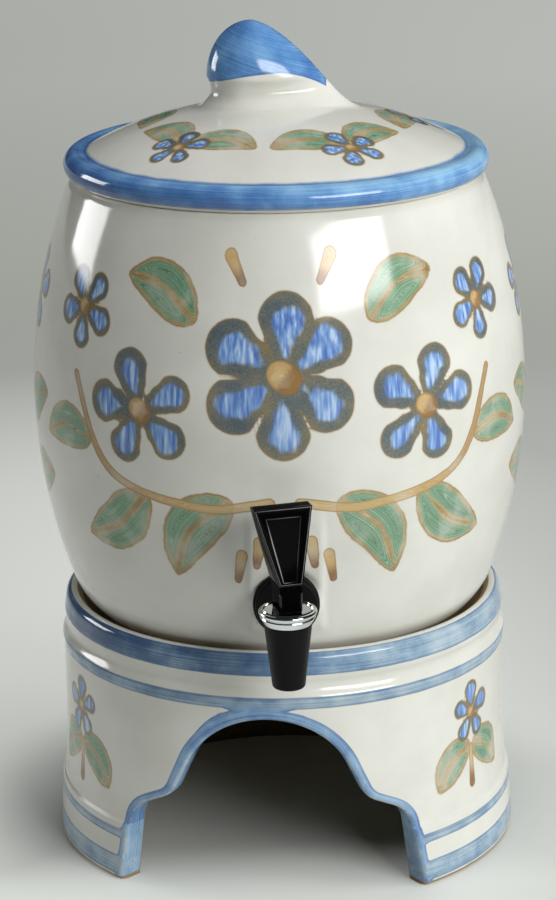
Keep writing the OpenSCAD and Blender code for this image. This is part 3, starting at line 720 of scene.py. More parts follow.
def crock_profile():
    centre = belly_r - side_curve
    heel_a = math.degrees(math.asin((belly_z - foot_z - heel_h) / side_curve))
    heel_x = side_r(foot_z + heel_h) - heel_curve * math.cos(math.radians(heel_a))
    heel_z = foot_z + heel_h + heel_curve * math.sin(math.radians(heel_a))
    foot_a = math.degrees(math.asin((heel_z - foot_z) / heel_curve))
    floor_a = math.degrees(math.asin((heel_z - foot_z - crock_floor) / (heel_curve - crock_wall)))
    rise = mouth_z - mouth_round - belly_z
    out_a = math.degrees(math.asin(rise / side_curve))
    in_a = math.degrees(math.asin(rise / (side_curve - crock_wall)))
    mouth_r = side_r(mouth_z)
    mouth_in = centre + math.sqrt((side_curve - crock_wall)**2 - (mouth_z - belly_z)**2)
    foot_r = heel_x + heel_curve * math.cos(math.radians(foot_a))
    line = [(0, foot_z + foot_hollow), (foot_r / 2, foot_z + foot_hollow)]
    line += [(foot_r - foot_ring_w - foot_hollow, foot_z + foot_hollow), (foot_r - foot_ring_w, foot_z)]
    line += [(foot_r - 2, foot_z)]
    line += arc(heel_x, heel_z, heel_curve, -foot_a + 2, -heel_a, 12)[:-1]
    line += arc(centre, belly_z, side_curve, -heel_a, out_a, 122)
    line += arc(mouth_r - mouth_round, mouth_z - mouth_round, mouth_round, 30, 90, 5)
    line += arc(mouth_in + mouth_round, mouth_z - mouth_round, mouth_round, 90, 150, 5)
    line += arc(centre, belly_z, side_curve - crock_wall, in_a, -heel_a, 22)
    line += arc(heel_x, heel_z, heel_curve - crock_wall, -heel_a, -floor_a, 5)[1:]
    return line + [(foot_r / 2, foot_z + crock_floor), (0, foot_z + crock_floor)]


def make_crock(columns=480):
    crock = turned("glazed_crock", crock_profile(), columns)
    points = get_points(crock)
    radius = np.hypot(points[:, 0], points[:, 1])
    front = points[:, 1] < 0
    outside = front & (radius > side_r(points[:, 2]) - crock_wall / 2) & (points[:, 2] > foot_z + 3)
    inside = front & ~outside & (radius > belly_r / 2) & (points[:, 2] > foot_z + crock_floor)
    up = points[:, 2] - tap_z
    flat = 1 - smooth_step(strip_w / 2 - strip_soft, strip_w / 2 + strip_soft, np.abs(points[:, 0]))
    flat *= smooth_step(-strip_down - strip_soft_low, -strip_down + strip_soft_low, up)
    flat *= 1 - smooth_step(strip_up - strip_fade, strip_up, up)
    level = -side_r(points[:, 2])
    points[:, 1] += np.where(outside, flat * (level - points[:, 1]), 0)
    seat = 1 - smooth_step(seat_r - seat_soft_in, seat_r + seat_soft_out, np.hypot(points[:, 0], up))
    points[:, 1] += np.where(outside, seat * (-seat_y - points[:, 1]), 0)
    points[:, 1] += np.where(inside, seat * (seat_t - seat_y - points[:, 1]), 0)
    set_points(crock, points)
    cut_rod(crock, tap_hole_r, 4 * seat_t, (0, -seat_y, tap_z), "Y")
    return crock


def paint_crock(crock):
    points = get_points(crock)
    painting = Painting(len(points))
    away = np.full(len(points), FAR)
    radius = np.hypot(points[:, 0], points[:, 1])
    outside = radius > side_r(points[:, 2]) - crock_wall / 2
    for turns, paint in ((garland_turns, paint_garland), (branch_turns, paint_branch)):
        for centre in turns:
            along = np.where(outside, turn_from(points, centre) * belly_r, OFF)
            painting.place(along, points[:, 2] - belly_z)
            paint(painting)
    painting.store_on(crock)
    store(crock, "band", away)
    store(crock, "across", points[:, 2])
    store(crock, "bare", np.where(outside, points[:, 2] - foot_z - 4, away))
    store(crock, "worn", np.zeros(len(points)))


def paint_garland(p):
    """One large blossom between two smaller ones, with leaves, stems and comma strokes on both sides."""
    p.add_blossom((0, 40), 43, 6)
    for side in (-1, 1):
        p.add_blossom((side * 80, 18), 33, 5, side * 14)
        p.add_blossom((side * 126, 66), 23, 5, side * 30)
        p.add_line([(side * 8, -28), (side * 46, -32), (side * 102, -18), (side * 128, 30)], 6, 4.5, 0.5)
        p.add_leaf((side * 30, -28), (side * 64, -74), 30, side * 0.14)
        p.add_leaf((side * 78, -28), (side * 126, -60), 29, side * -0.1)
        p.add_leaf((side * 116, -4), (side * 162, -10), 25, side * 0.14)
        p.add_leaf((side * 50, 68), (side * 94, 88), 27, side * 0.14)
        p.add_line([(side * 29, 101), (side * 22, 88)], 8, 4.5, 1.0)
        for k in range(2):
            start, end = (side * (14 + 10 * k), -50 - 8 * k), (side * (16 + 11 * k), -64 - 9 * k)
            p.add_line([start, end], 7, 4.5, 1.0)


def paint_branch(p):
    """An upright stem with paired leaves and one small blossom."""
    p.add_line([(0, -84), (4, -40), (-2, 4), (0, 40)], 5.5, 4, 0.5)
    p.add_blossom((0, 62), 24, 5)
    for side in (-1, 1):
        p.add_leaf((side * 2, -50), (side * 40, -34), 25, side * 0.14)
        p.add_leaf((side * 2, -10), (side * 38, 12), 24, side * 0.14)


# Lid

dome_foot = lid_r - lid_roll - dome_inset
dome_rise = dome_h - 2 * lid_roll + dome_drop
dome_curve = (dome_foot**2 + dome_rise**2) / (2 * dome_rise)


def dome_z(r):
    return dome_top - dome_curve + np.sqrt(dome_curve**2 - r**2)


def lid_profile():
    """The lid from the middle of its underside round the rim, and up the dome to the knob's foot."""
    low, middle = lid_low.z, dome_top - dome_curve
    ring_r = side_r(mouth_z) - crock_wall * mouth_slant - ring_gap
    inner = dome_curve - lid_wall
    in_a = math.degrees(math.asin((ring_r - ring_t) / inner))
    out_a = math.degrees(math.asin(dome_foot / dome_curve))
    knob_a = math.degrees(math.asin(knob_field_r / dome_curve))
    line = arc(0, middle, inner, 90, 90 - in_a, 24)
    line += [(ring_r - ring_t, low + ring_bevel), (ring_r - ring_t + ring_bevel, low)]
    line += [(ring_r - ring_bevel, low), (ring_r, low + ring_bevel), (ring_r, mouth_z)]
    line += arc(lid_r - lid_roll, mouth_z + lid_roll, lid_roll, -90, 112, 26)
    hollow = [(dome_foot + 1.2, dome_z(dome_foot + 1.2) + 0.25)]
    return line + hollow + arc(0, middle, dome_curve, 90 - out_a, 90 - knob_a, 26)


def knob_ring(t, a):
    """The knob without its foot: t runs from -1 at the dome to 0 at the fullest ring and 1 at the peak."""
    grip = knob_grip * np.sin(math.pi * np.clip(-t, 0, 1))
    full = np.sqrt(1 - np.clip(t, 0, 1)**2)
    left = -knob_peak_x - (knob_round_x - knob_peak_x) * full + grip / 2
    slope = (knob_tip_x + knob_peak_x) * np.clip(1 - t, 0, None)**knob_slope - knob_peak_x
    right = np.where(t < 0, knob_tip_x - knob_tail * t, slope)
    wide = knob_half_w * full - grip
    middle = left + wide
    c, s = np.cos(a), np.sin(a)
    x = middle + np.where(c < 0, wide, right - middle) * c
    y = wide * np.where(c < 0, s, np.sign(s) * np.abs(s)**knob_point_in)
    z = dome_top + knob_full_h + t * np.where(t < 0, knob_full_h, knob_h - knob_full_h)
    return x, y, z, middle


def knob_with_foot(t, a):
    """Points of the knob, moved out from the middle of each ring where the foot runs into the dome."""
    x, y, z, middle = knob_ring(t, a)
    up = z - dome_z(np.hypot(x, y))
    left = np.clip(knob_foot - np.maximum(up + knob_foot_sink, 0), 0, knob_foot)
    out = knob_foot - np.sqrt(knob_foot**2 - left**2)
    length = np.maximum(np.hypot(x - middle, y), 1e-6)
    x, y = x + out * (x - middle) / length, y + out * y / length
    soft = (up + np.sqrt(up**2 + knob_foot_sink**2)) / 2
    return np.stack([x, y, dome_z(np.hypot(x, y)) + np.where(t < 0, soft, up)], 1)


def make_lid(columns=420, blend_rings=10, foot_rings=20, cap_rings=30):
    """The lid is spun with spare rings on top of it, which are then moved to the knob's outlines."""
    spare_z, spare_step = 2000, 10
    rings = blend_rings + foot_rings + cap_rings
    spare = [(knob_field_r, spare_z + spare_step * k) for k in range(rings)]
    spare += [(0, spare_z + spare_step * rings)]
    lid = turned("glazed_lid", lid_profile() + spare, columns)
    points = get_points(lid)
    moved = np.nonzero(points[:, 2] > spare_z - 1)[0]
    ring = np.round((points[moved, 2] - spare_z) / spare_step)
    a = np.arctan2(points[moved, 1], points[moved, 0])
    low, high = np.full(len(moved), -2.0), np.full(len(moved), -0.5)
    for _ in range(30):
        mid = (low + high) / 2
        x, y, z, _ = knob_ring(mid, a)
        below = z - dome_z(np.hypot(x, y)) < -knob_foot_sink
        low, high = np.where(below, mid, low), np.where(below, high, mid)
    foot = np.clip((ring - blend_rings) / foot_rings, 0, 1)
    cap = np.clip((ring - blend_rings - foot_rings) / cap_rings, 0, 1)
    place = knob_with_foot(np.where(cap > 0, np.sin(math.pi / 2 * cap), low * (1 - foot)), a)
    share = ((ring + 1) / (blend_rings + 1))[:, None]
    outer = knob_field_r * np.stack([np.cos(a), np.sin(a)], 1)
    flat = outer + (place[:, :2] - outer) * share
    rise = (place[:, 2] - dome_z(np.hypot(place[:, 0], place[:, 1]))) * share[:, 0]**2
    blend = np.column_stack([flat, dome_z(np.minimum(np.hypot(flat[:, 0], flat[:, 1]), lid_r)) + rise])
    points[moved] = np.where((ring < blend_rings)[:, None], blend, place)
    set_points(lid, points)
    tidy_mesh(lid)
    return lid


def paint_lid(lid):
    points = get_points(lid)
    painting = Painting(len(points))
    radius = np.hypot(points[:, 0], points[:, 1])
    away = np.full(len(points), FAR)
    roll_x, roll_z = radius - (lid_r - lid_roll), points[:, 2] - mouth_z - lid_roll
    angle = np.degrees(np.arctan2(roll_z, roll_x))
    band = (np.abs(angle - rim_paint_middle) - rim_paint_half) * math.radians(lid_roll)
    on_rim = radius > rim_from_r
    aside = points[:, 0] - knob_paint_x
    knob_edge = dome_top + knob_paint_up - np.where(aside < 0, knob_paint_left, knob_paint_right) * aside**2
    cap = np.maximum(knob_edge - points[:, 2], aside - knob_paint_side)
    cap = np.where(radius < knob_field_r, cap, FAR)
    upper = points[:, 2] > dome_z(np.minimum(radius, lid_r - lid_roll)) - 1
    painting.place(np.where(upper & (radius < sprigs_to_r), points[:, 0], OFF), points[:, 1])
    paint_sprigs(painting)
    painting.store_on(lid)
    store(lid, "band", np.minimum(np.where(on_rim, band, FAR), cap))
    slanting = points[:, 2] + knob_streak_slant * points[:, 0]
    store(lid, "across", np.where(on_rim, angle * math.radians(lid_roll), slanting))
    store(lid, "bare", away)
    worn = 1 - np.abs(angle - rim_worn_a) / rim_worn_half
    store(lid, "worn", np.where(on_rim, worn, 0).clip(0, 1))
    # Painted light and shade in the rim's blue, partly also thicker and thinner paint: paler on top and to
    # the lit right, deeper below and to the left
    light_and_paint = lid_light_and_paint_low + lid_light_and_paint_up * smooth_step(*lid_light_and_paint_a, angle)
    light_and_paint += lid_light_and_paint_right * points[:, 0] / lid_r
    store(lid, "light_and_paint", np.where(on_rim, light_and_paint, 0))


def paint_sprigs(p):
    for k in range(sprig_count):
        a = TAU * k / sprig_count + math.radians(30)
        way, side = np.array([math.sin(a), -math.cos(a)]), np.array([math.cos(a), math.sin(a)])
        p.add_leaf(way * 72 + side * 4, way * 62 + side * 40, 22, 0.14)
        p.add_leaf(way * 72 - side * 4, way * 62 - side * 40, 22, -0.14)
        p.add_blossom(way * 78, 17, 5, math.degrees(a))


# Tap

def make_tap_body():
    line = [(0, -spout_down)]
    line += arc(spout_end_r - spout_round, spout_round - spout_down, spout_round, -90, 0, 7)
    line += [(spout_top_r, collar_up - 0.6), (neck_r, collar_up - 0.2), (neck_r, neck_up), (0, neck_up)]
    body = turned("tap_spout", line, 96)
    stand_on_spout(body)
    front = -washer_t - flange_t
    line = [(0, -reach), (arm_r, -reach)]
    line += arc(arm_r + arm_fillet, front - arm_fillet, arm_fillet, 180, 90, 6)
    line += arc(flange_r - flange_round, front + flange_round, flange_round, -90, 0, 6)
    line += [(flange_r, -washer_t), (shank_r, -washer_t)]
    for depth in np.arange(0, shank_end - thread_pitch, thread_pitch):
        line += [(shank_r, depth), (shank_r, depth + thread_pitch / 4)]
        line += [(shank_r - thread_depth, depth + thread_pitch * 5 / 8)]
    line += [(shank_r - thread_depth, shank_end), (0, shank_end)]
    arm = turned("tap_arm", line, 72)
    lay_on_shank(arm)
    combine(body, arm, "UNION")
    below, seat = -spout_down - 2, -valve_down - valve_seat_t
    line = [(0, below), (outlet_r, below), (outlet_r, seat), (valve_hole_r, seat)]
    line += [(valve_hole_r, -valve_down), (chamber_r, -valve_down)]
    line += [(chamber_r, neck_up + 2), (0, neck_up + 2)]
    bore = turned("tap_bore", line, 64)
    stand_on_spout(bore)
    combine(body, bore, "DIFFERENCE")
    length = reach + shank_end + 2
    cut_rod(body, shank_bore_r, length, (0, length / 2 - spout_y, tap_z), "Y")
    return body


def make_collar():
    """Plate with a raised round rim above a fine groove, on a skirt that draws in downwards."""
    centre_r, centre_z = collar_r - collar_bead, collar_top - collar_bead
    line = [(stem_hole_r, plate_low), (skirt_in, plate_low), (skirt_in, collar_up)]
    line += arc(skirt_low_r - skirt_low_round, collar_up + skirt_low_round, skirt_low_round, -80, -10, 4)
    line += arc(skirt_r - skirt_round, plate_low - 1.2, skirt_round, -20, 70, 5)
    line += arc(centre_r, centre_z, collar_bead, -55, 95, 14)
    line += arc(centre_r - 0.2, plate_up + plate_fillet, plate_fillet, 120, 180, 4)
    line += [(centre_r - 1.4, plate_up + 0.3), (centre_r - 2.2, plate_up)]
    line += [(stem_hole_r + stem_hole_edge, plate_up), (stem_hole_r, plate_up - stem_hole_edge)]
    line += [(stem_hole_r, plate_low)]
    collar = turned("chrome_collar", line, 128)
    stand_on_spout(collar)
    return collar


def make_washer():
    hole, edge = shank_r + washer_gap, washer_round
    line = [(hole, 0), (washer_r - edge, 0)] + arc(washer_r - edge, -edge, edge, 90, 0, 5)
    line += arc(washer_r - edge, edge - washer_t, edge, 0, -90, 5) + [(hole, -washer_t), (hole, 0)]
    washer = turned("rubber_washer", line, 96)
    lay_on_shank(washer)
    return washer


def make_lever():
    """A shank and a leaning paddle drawn up from the heel, with a frame, and cut out for stem and pin."""
    lip_y = -lever_d / 2 - paddle_lip
    top_y = lip_y + (lever_h - paddle_z) * math.tan(paddle_lean)
    half_d, half_w = lever_d / 2, lever_w / 2
    heel = arc(heel_round - half_d, heel_gap + heel_round, heel_round, -90, -180, 6)
    levels = [(z, y, half_d, half_w) for y, z in heel]
    levels += [(paddle_z - under_h, -half_d, half_d, half_w), (paddle_z, -half_d, lever_back, half_w),
               (paddle_z, lip_y, lever_back, half_w), (lever_h, top_y, top_y + paddle_t, paddle_w / 2)]
    pick()
    bpy.ops.mesh.primitive_plane_add(size=2 * MM, location=(0, 0, 0))
    lever = bpy.context.object
    lever.name = "black_lever"
    bpy.ops.object.mode_set(mode="EDIT")
    was = (0.0, -1.0, 1.0, 1.0)
    for k, level in enumerate(levels):
        z, front, back, half = level
        if k:
            bpy.ops.mesh.extrude_region_move(TRANSFORM_OT_translate={"value": (0, 0, 0)})
        middle = (was[1] + was[2]) / 2
        bpy.ops.transform.resize(value=(half / was[3], (back - front) / (was[2] - was[1]), 1),
                                 center_override=(0, middle * MM, was[0] * MM))
        bpy.ops.transform.translate(value=Vector((0, (front + back) / 2 - middle, z - was[0])) * MM)
        was = level
    tidy_mesh(lever, 0.0005)
    frame_paddle(lever, lip_y)

    def edge_at(side, low, high, front):
        """Test for the ends of one long edge of the lever."""
        def test(p):
            share = np.clip((p[:, 2] - paddle_z) / (lever_h - paddle_z), 0, 1)
            wide = half_w + (paddle_w / 2 - half_w) * share
            drop = np.clip(heel_gap + heel_round - p[:, 2], 0, heel_round)
            shank = heel_round - half_d - np.sqrt(heel_round**2 - drop**2)
            face = np.where(p[:, 2] > paddle_z - NEAR, lip_y + (top_y - lip_y) * share, shank)
            on_face = (np.abs(p[:, 1] - face) < NEAR) == front
            return (np.abs(p[:, 0] - side * wide) < NEAR) & (p[:, 2] > low) & (p[:, 2] < high) & on_face
        return test

    def on_lip(p):
        return (np.abs(p[:, 2] - paddle_z) < NEAR) & (np.abs(p[:, 1] - lip_y) < NEAR)

    top = lever_h + 1
    round_edges(lever, [lambda p: p[:, 2] > lever_h - NEAR], paddle_top_round, 4)
    round_edges(lever, [on_lip], lip_round, 2)
    paddle_edges = [edge_at(s, paddle_z - 0.1, top, f) for s in (-1, 1) for f in (True, False)]
    round_edges(lever, paddle_edges, paddle_round, 3)
    round_edges(lever, [edge_at(s, -1, paddle_z - NEAR, True) for s in (-1, 1)], shank_round, 3)
    cut_rod(lever, fork_roof, fork_w, (0, 0, pin_up), "X")
    cut_block(lever, (-fork_w / 2, -fork_roof, -1), (fork_w / 2, lever_d, pin_up))
    cut_block(lever, (-fork_w / 2, 0, -1), (fork_w / 2, lever_d, pin_up + blade_up))
    cut_rod(lever, pin_hole_r, 3 * lever_w, (0, 0, pin_up), "X")
    x, y, z = get_points(lever).T
    c, s = math.cos(lever_turn), math.sin(lever_turn)
    set_points(lever, np.stack([c * x - s * y, s * x + c * y, z + plate_up], 1))
    stand_on_spout(lever)
    return lever


def make_spring():
    """A round wire wound round the stem, between its foot and the collar's plate."""
    coil_r = (spring_high.x - spring_low.x) / 2 - wire_r
    pick()
    bpy.ops.mesh.primitive_circle_add(vertices=10, radius=wire_r * MM, location=(coil_r * MM, 0, 0),
                                      rotation=(math.pi / 2, 0, 0), fill_type="NOTHING")
    spring = bpy.context.object
    spring.name = "steel_spring"
    bpy.ops.object.transform_apply(location=True, rotation=True, scale=True)
    wind = spring.modifiers.new("Wind", "SCREW")
    wind.iterations, wind.steps, wind.render_steps = spring_turns, 32, 32
    wind.screw_offset = (spring_high.z - spring_low.z - 2 * wire_r) / spring_turns * MM
    bpy.ops.object.modifier_apply(modifier=wind.name)
    bpy.ops.object.mode_set(mode="EDIT")
    bpy.ops.mesh.select_mode(type="EDGE")
    bpy.ops.mesh.select_all(action="SELECT")
    bpy.ops.mesh.remove_doubles(threshold=0.002 * MM)
    bpy.ops.mesh.fill_holes(sides=0)
    tidy_mesh(spring)
    set_points(spring, get_points(spring) + (0, -spout_y, spring_low.z + wire_r))
    return spring


def glint_edges(piece, width, material):
    """Gives the narrow faces along the edges a second finish, a lighter and more reflective black that is a
    painted glint.
    """
    points = get_points(piece)
    piece.data.materials.append(material)
    for face in piece.data.polygons:
        ring = points[list(face.vertices)]
        longest = np.linalg.norm(ring - np.roll(ring, 1, 0), axis=1).max()
        face.material_index = int(face.area / MM**2 < width * longest)


def frame_paddle(lever, lip_y):
    """Insets the paddle's face and sinks its middle to a flat panel."""
    length = (lever_h - paddle_z) / math.cos(paddle_lean)
    tilt = math.tan(paddle_lean)
    select_where(lever, lambda p: (p[:, 2] > paddle_z - NEAR)
                 & (np.abs(p[:, 1] - lip_y - (p[:, 2] - paddle_z) * tilt) < NEAR), "FACE")
    bpy.ops.mesh.inset(thickness=frame_edge * MM, depth=0)
    bpy.ops.mesh.inset(thickness=MM, depth=0)
    pick(lever)
    panel = next(face for face in lever.data.polygons if face.select)
    points = get_points(lever)
    for k in panel.vertices:
        side = math.copysign(1, points[k][0])
        high = points[k][2] > lever_h / 2
        along = length - panel_top_in if high else panel_low_in
        wide = panel_top_w if high else panel_low_w
        points[k] = (side * wide / 2, lip_y + along * math.sin(paddle_lean) + panel_d * math.cos(paddle_lean),
                     paddle_z + along * math.cos(paddle_lean) - panel_d * math.sin(paddle_lean))
    set_points(lever, points)
    ends = points[list(panel.vertices)]
    round_edges(lever, [lambda p: np.linalg.norm(p[:, None] - ends, axis=2).min(1) < NEAR], panel_round, 1)


# Finishes

def new_material(name):
    material = bpy.data.materials.new(name)
    material.use_nodes = True
    material.node_tree.nodes.clear()
    return material, material.node_tree


class Nodes:
    """Adds nodes to a tree and joins them by name."""

    def __init__(self, tree):
        self.tree = tree

    def add(self, kind, values=None, **settings):
        node = self.tree.nodes.new("ShaderNode" + kind)
        for key, value in settings.items():
            setattr(node, key, value)
        for key, value in (values or {}).items():
            self.give(node.inputs[key], value)
        return node

    def give(self, socket, value):
        if isinstance(value, bpy.types.NodeSocket):
            self.tree.links.new(value, socket)
        else:
            socket.default_value = value

    def math(self, operation, a, b=0.0, c=0.0):
        return self.add("Math", {0: a, 1: b, 2: c}, operation=operation).outputs[0]

    def times(self, a, b, plus=None):
        if plus is None:
            return self.math("MULTIPLY", a, b)
        return self.math("MULTIPLY_ADD", a, b, plus)

    def ramp(self, value, low, high, start=0.0, end=1.0):
        node = self.add("MapRange", {"Value": value, "From Min": low, "From Max": high, "To Min": start,
                                     "To Max": end}, interpolation_type="SMOOTHSTEP")
        return node.outputs["Result"]

    def mix(self, factor, a, b):
        node = self.add("Mix", data_type="RGBA", clamp_factor=True)
        self.give(node.inputs[0], factor)
        self.give(node.inputs[6], a)
        self.give(node.inputs[7], b)
        return node.outputs[2]

    def tint(self, value, stops):
        """A colour that runs through (place, colour) stops."""
        node = self.add("ValToRGB", {"Fac": value})
        for place, _ in stops[2:]:
            node.color_ramp.elements.new(place)
        for element, (place, colour) in zip(node.color_ramp.elements, stops):
            element.position, element.color = place, colour
        return node.outputs["Color"]

    def noise(self, vector, scale, detail=3.0, w=None, rough=0.5):
        node = self.add("TexNoise", {"Vector": vector, "Scale": scale, "Detail": detail, "Roughness": rough},
                        noise_dimensions="4D" if w is not None else "3D")
        if w is not None:
            self.give(node.inputs["W"], w)
        return node.outputs["Fac"]

    def attribute(self, name):
        return self.add("Attribute", attribute_name=name).outputs["Fac"]


def rgb(r, g, b):
    """A display colour of 0 to 255 as a linear one."""
    linear = [(c / 255 / 12.92 if c < 10.3 else ((c / 255 + 0.055) / 1.055)**2.4) for c in (r, g, b)]
    return (*linear, 1.0)


def shades(*stops):
    """Display colours at places of a ramp, for a tint."""
    return [(place, rgb(*colour)) for place, *colour in stops]


pale_glaze = rgb(216, 216, 207), rgb(227, 227, 219)
speck_brown = rgb(120, 96, 66)
leaf_green = shades((0.36, 44, 88, 62), (0.5, 102, 148, 114), (0.64, 176, 206, 178))
leaf_outline = shades((0.36, 132, 98, 44), (0.5, 182, 148, 88), (0.64, 210, 188, 140))
leaf_pool = rgb(146, 108, 50)
petal_blue = shades((0.36, 66, 112, 190), (0.52, 122, 164, 220), (0.66, 188, 212, 240))
petal_slate = shades((0.36, 62, 80, 96), (0.5, 96, 104, 98), (0.62, 134, 118, 76))
petal_pool = rgb(150, 120, 66)
stem_ochre = shades((0.36, 176, 136, 74), (0.5, 202, 170, 112), (0.64, 218, 198, 154))
stem_dark, stem_pool = rgb(122, 78, 26), rgb(142, 98, 42)
cobalt = shades((0.37, 30, 76, 148), (0.5, 80, 140, 202), (0.63, 152, 200, 232))
denim = shades((0.39, 36, 76, 124), (0.5, 104, 148, 184), (0.61, 178, 202, 212))
cobalt_pool, denim_pool = rgb(46, 84, 152), rgb(56, 90, 138)
worn_glaze = rgb(206, 198, 178)
foot_clay = rgb(132, 112, 82), rgb(176, 156, 120)
# Darker clay for the stand's inside, partly painted shade in its hollow
inner_clay_and_shade = rgb(78, 64, 40), rgb(104, 88, 60)


def brush_group():
    """Turns a distance field into a painted mask, the pool of colour at its edge, and streaks along it."""
    tree = bpy.data.node_groups.new("brush_stroke", "ShaderNodeTree")
    face = tree.interface
    face.new_socket("Place", in_out="INPUT", socket_type="NodeSocketVector")
    for name in ("Distance", "Across", "Ragged", "Pool"):
        face.new_socket(name, in_out="INPUT", socket_type="NodeSocketFloat")
    for name in ("Inside", "Cover", "Edge", "Streak"):
        face.new_socket(name, in_out="OUTPUT", socket_type="NodeSocketFloat")
    n = Nodes(tree)
    into = tree.nodes.new("NodeGroupInput").outputs
    out = tree.nodes.new("NodeGroupOutput").inputs
    slow = n.math("SUBTRACT", n.noise(into["Place"], 75.0, 2.0), 0.5)
    fine = n.math("SUBTRACT", n.noise(into["Place"], 420.0, 2.0), 0.5)
    moved = n.times(n.times(fine, 0.22, slow), into["Ragged"], into["Distance"])
    n.give(out["Inside"], n.times(moved, -1.0))
    n.give(out["Cover"], n.ramp(moved, 0.3, -0.35))
    n.give(out["Edge"], n.ramp(n.math("ABSOLUTE", n.math("ADD", moved, 0.25)), into["Pool"], 0.0))
    along = n.times(into["Across"], 0.9)
    n.give(out["Streak"], n.noise(into["Place"], 15.0, 4.0, w=along, rough=0.6))
    return tree


def speckled_glaze(n, place, cloud):
    glaze = n.mix(n.ramp(cloud, 0.3, 0.7), *pale_glaze)
    specks = n.add("TexVoronoi", {"Vector": place, "Scale": 240.0}, feature="F1")
    size = n.ramp(n.noise(place, 90.0, 2.0), 0.6, 0.8, 0.0, 0.15)
    speck = n.math("LESS_THAN", specks.outputs["Distance"], size)
    return n.mix(n.times(speck, 0.5), glaze, speck_brown)


def leaf_paint(n, under, leaf, wash):
    """Green with an uneven ochre outline."""
    uneven = n.times(n.math("SUBTRACT", wash, 0.5), 6.0, leaf["Inside"])
    rim = n.times(n.ramp(uneven, 3.0, 1.2), 0.85)
    paint = n.mix(rim, n.tint(leaf["Streak"], leaf_green), n.tint(leaf["Streak"], leaf_outline))
    colour = n.mix(n.times(leaf["Cover"], n.ramp(wash, 0.3, 0.6, 0.62, 0.95)), under, paint)
    return n.mix(n.times(leaf["Edge"], n.ramp(wash, 0.35, 0.6, 0.15, 0.6)), colour, leaf_pool)


def petal_paint(n, under, petal, wash, place):
    """Upright blue streaks inside a broad grainy outline."""
    upright = n.add("VectorMath", {0: place, 1: (1.0, 1.0, 0.1)}, operation="MULTIPLY").outputs[0]
    heart = n.tint(n.noise(upright, 420.0, 2.0), petal_blue)
    slate = n.tint(n.times(n.noise(place, 1300.0, 1.0), 0.5, n.times(wash, 0.5)), petal_slate)
    depth = n.times(n.math("SUBTRACT", wash, 0.5), 0.9, n.attribute("heart"))
    colour = n.mix(n.times(petal["Cover"], 0.94), under, n.mix(n.ramp(depth, 0.3, 0.52), slate, heart))
    return n.mix(n.times(petal["Edge"], 0.5), colour, petal_pool)


def line_paint(n, under, line, wash):
    """Ochre strokes that are darker where the colour gathers."""
    paint = n.mix(n.times(n.attribute("pool"), 0.85), n.tint(line["Streak"], stem_ochre), stem_dark)
    colour = n.mix(n.times(line["Cover"], n.ramp(wash, 0.3, 0.6, 0.7, 0.95)), under, paint)
    return n.mix(n.times(n.times(line["Edge"], line["Cover"]), 0.55), colour, stem_pool)


def band_paint(n, under, band, wash):
    """Blue bands, between full cobalt and a thin denim, that are worn through in places."""
    tone = n.times(band["Streak"], 0.7, n.times(wash, 0.3))
    # Painted light and shade, partly also thicker and thinner paint: the tone rises on the lit sides of the
    # bands and falls on their shaded sides
    tone = n.math("ADD", tone, n.attribute("light_and_paint"))
    thin = n.attribute("thin")
    paint = n.mix(thin, n.tint(tone, cobalt), n.tint(tone, denim))
    cover = n.math("SUBTRACT", 0.96, n.times(thin, n.ramp(tone, 0.44, 0.6, 0.02, 0.25)))
    colour = n.mix(n.times(band["Cover"], cover), under, paint)
    pooled = n.times(n.times(band["Edge"], band["Cover"]), 0.5)
    colour = n.mix(pooled, colour, n.mix(thin, cobalt_pool, denim_pool))
    return n.mix(n.times(n.attribute("worn"), n.ramp(wash, 0.38, 0.62, 0.1, 0.7)), colour, worn_glaze)


def glazed_finish(brush):
    """Speckled pale glaze over brush strokes in green, ochre and cobalt, with bare clay at the feet."""
    material, tree = new_material("painted_glaze")
    n = Nodes(tree)
    place = n.add("TexCoord").outputs["Object"]
    cloud = n.noise(place, 22.0, 4.0)
    wash = n.noise(place, 60.0, 3.0)

    def stroke(name, ragged, pool, across=None):
        node = n.add("Group", node_tree=brush)
        distance = n.attribute(name)
        for key, value in (("Place", place), ("Distance", distance), ("Across", across or distance),
                           ("Ragged", ragged), ("Pool", pool)):
            n.give(node.inputs[key], value)
        return node.outputs

    colour = speckled_glaze(n, place, cloud)
    colour = leaf_paint(n, colour, stroke("leaf", 2.6, 1.1), wash)
    colour = petal_paint(n, colour, stroke("petal", 1.6, 1.3), wash, place)
    colour = line_paint(n, colour, stroke("line", 1.2, 0.9), wash)
    colour = band_paint(n, colour, stroke("band", 0.5, 1.4, n.attribute("across")), wash)
    bare = stroke("bare", 0.8, 0.8)
    # The stand's inside takes the darker inner clay, partly painted shade in its hollow; the lip and foot
    # take the paler foot clay
    clay = n.mix(n.ramp(bare["Inside"], 3.0, 8.0), n.mix(cloud, *foot_clay), n.mix(cloud, *inner_clay_and_shade))
    colour = n.mix(bare["Cover"], colour, clay)
    rough = n.ramp(bare["Cover"], 0.0, 1.0, 0.1, 0.75)
    wave = n.add("Bump", {"Height": n.noise(place, 26.0, 3.0), "Strength": 0.35, "Distance": 0.0006})
    shader = n.add("BsdfPrincipled", {"Base Color": colour, "Roughness": rough,
                                      "Normal": wave.outputs["Normal"]})
    n.add("OutputMaterial", {"Surface": shader.outputs["BSDF"]})
    return material


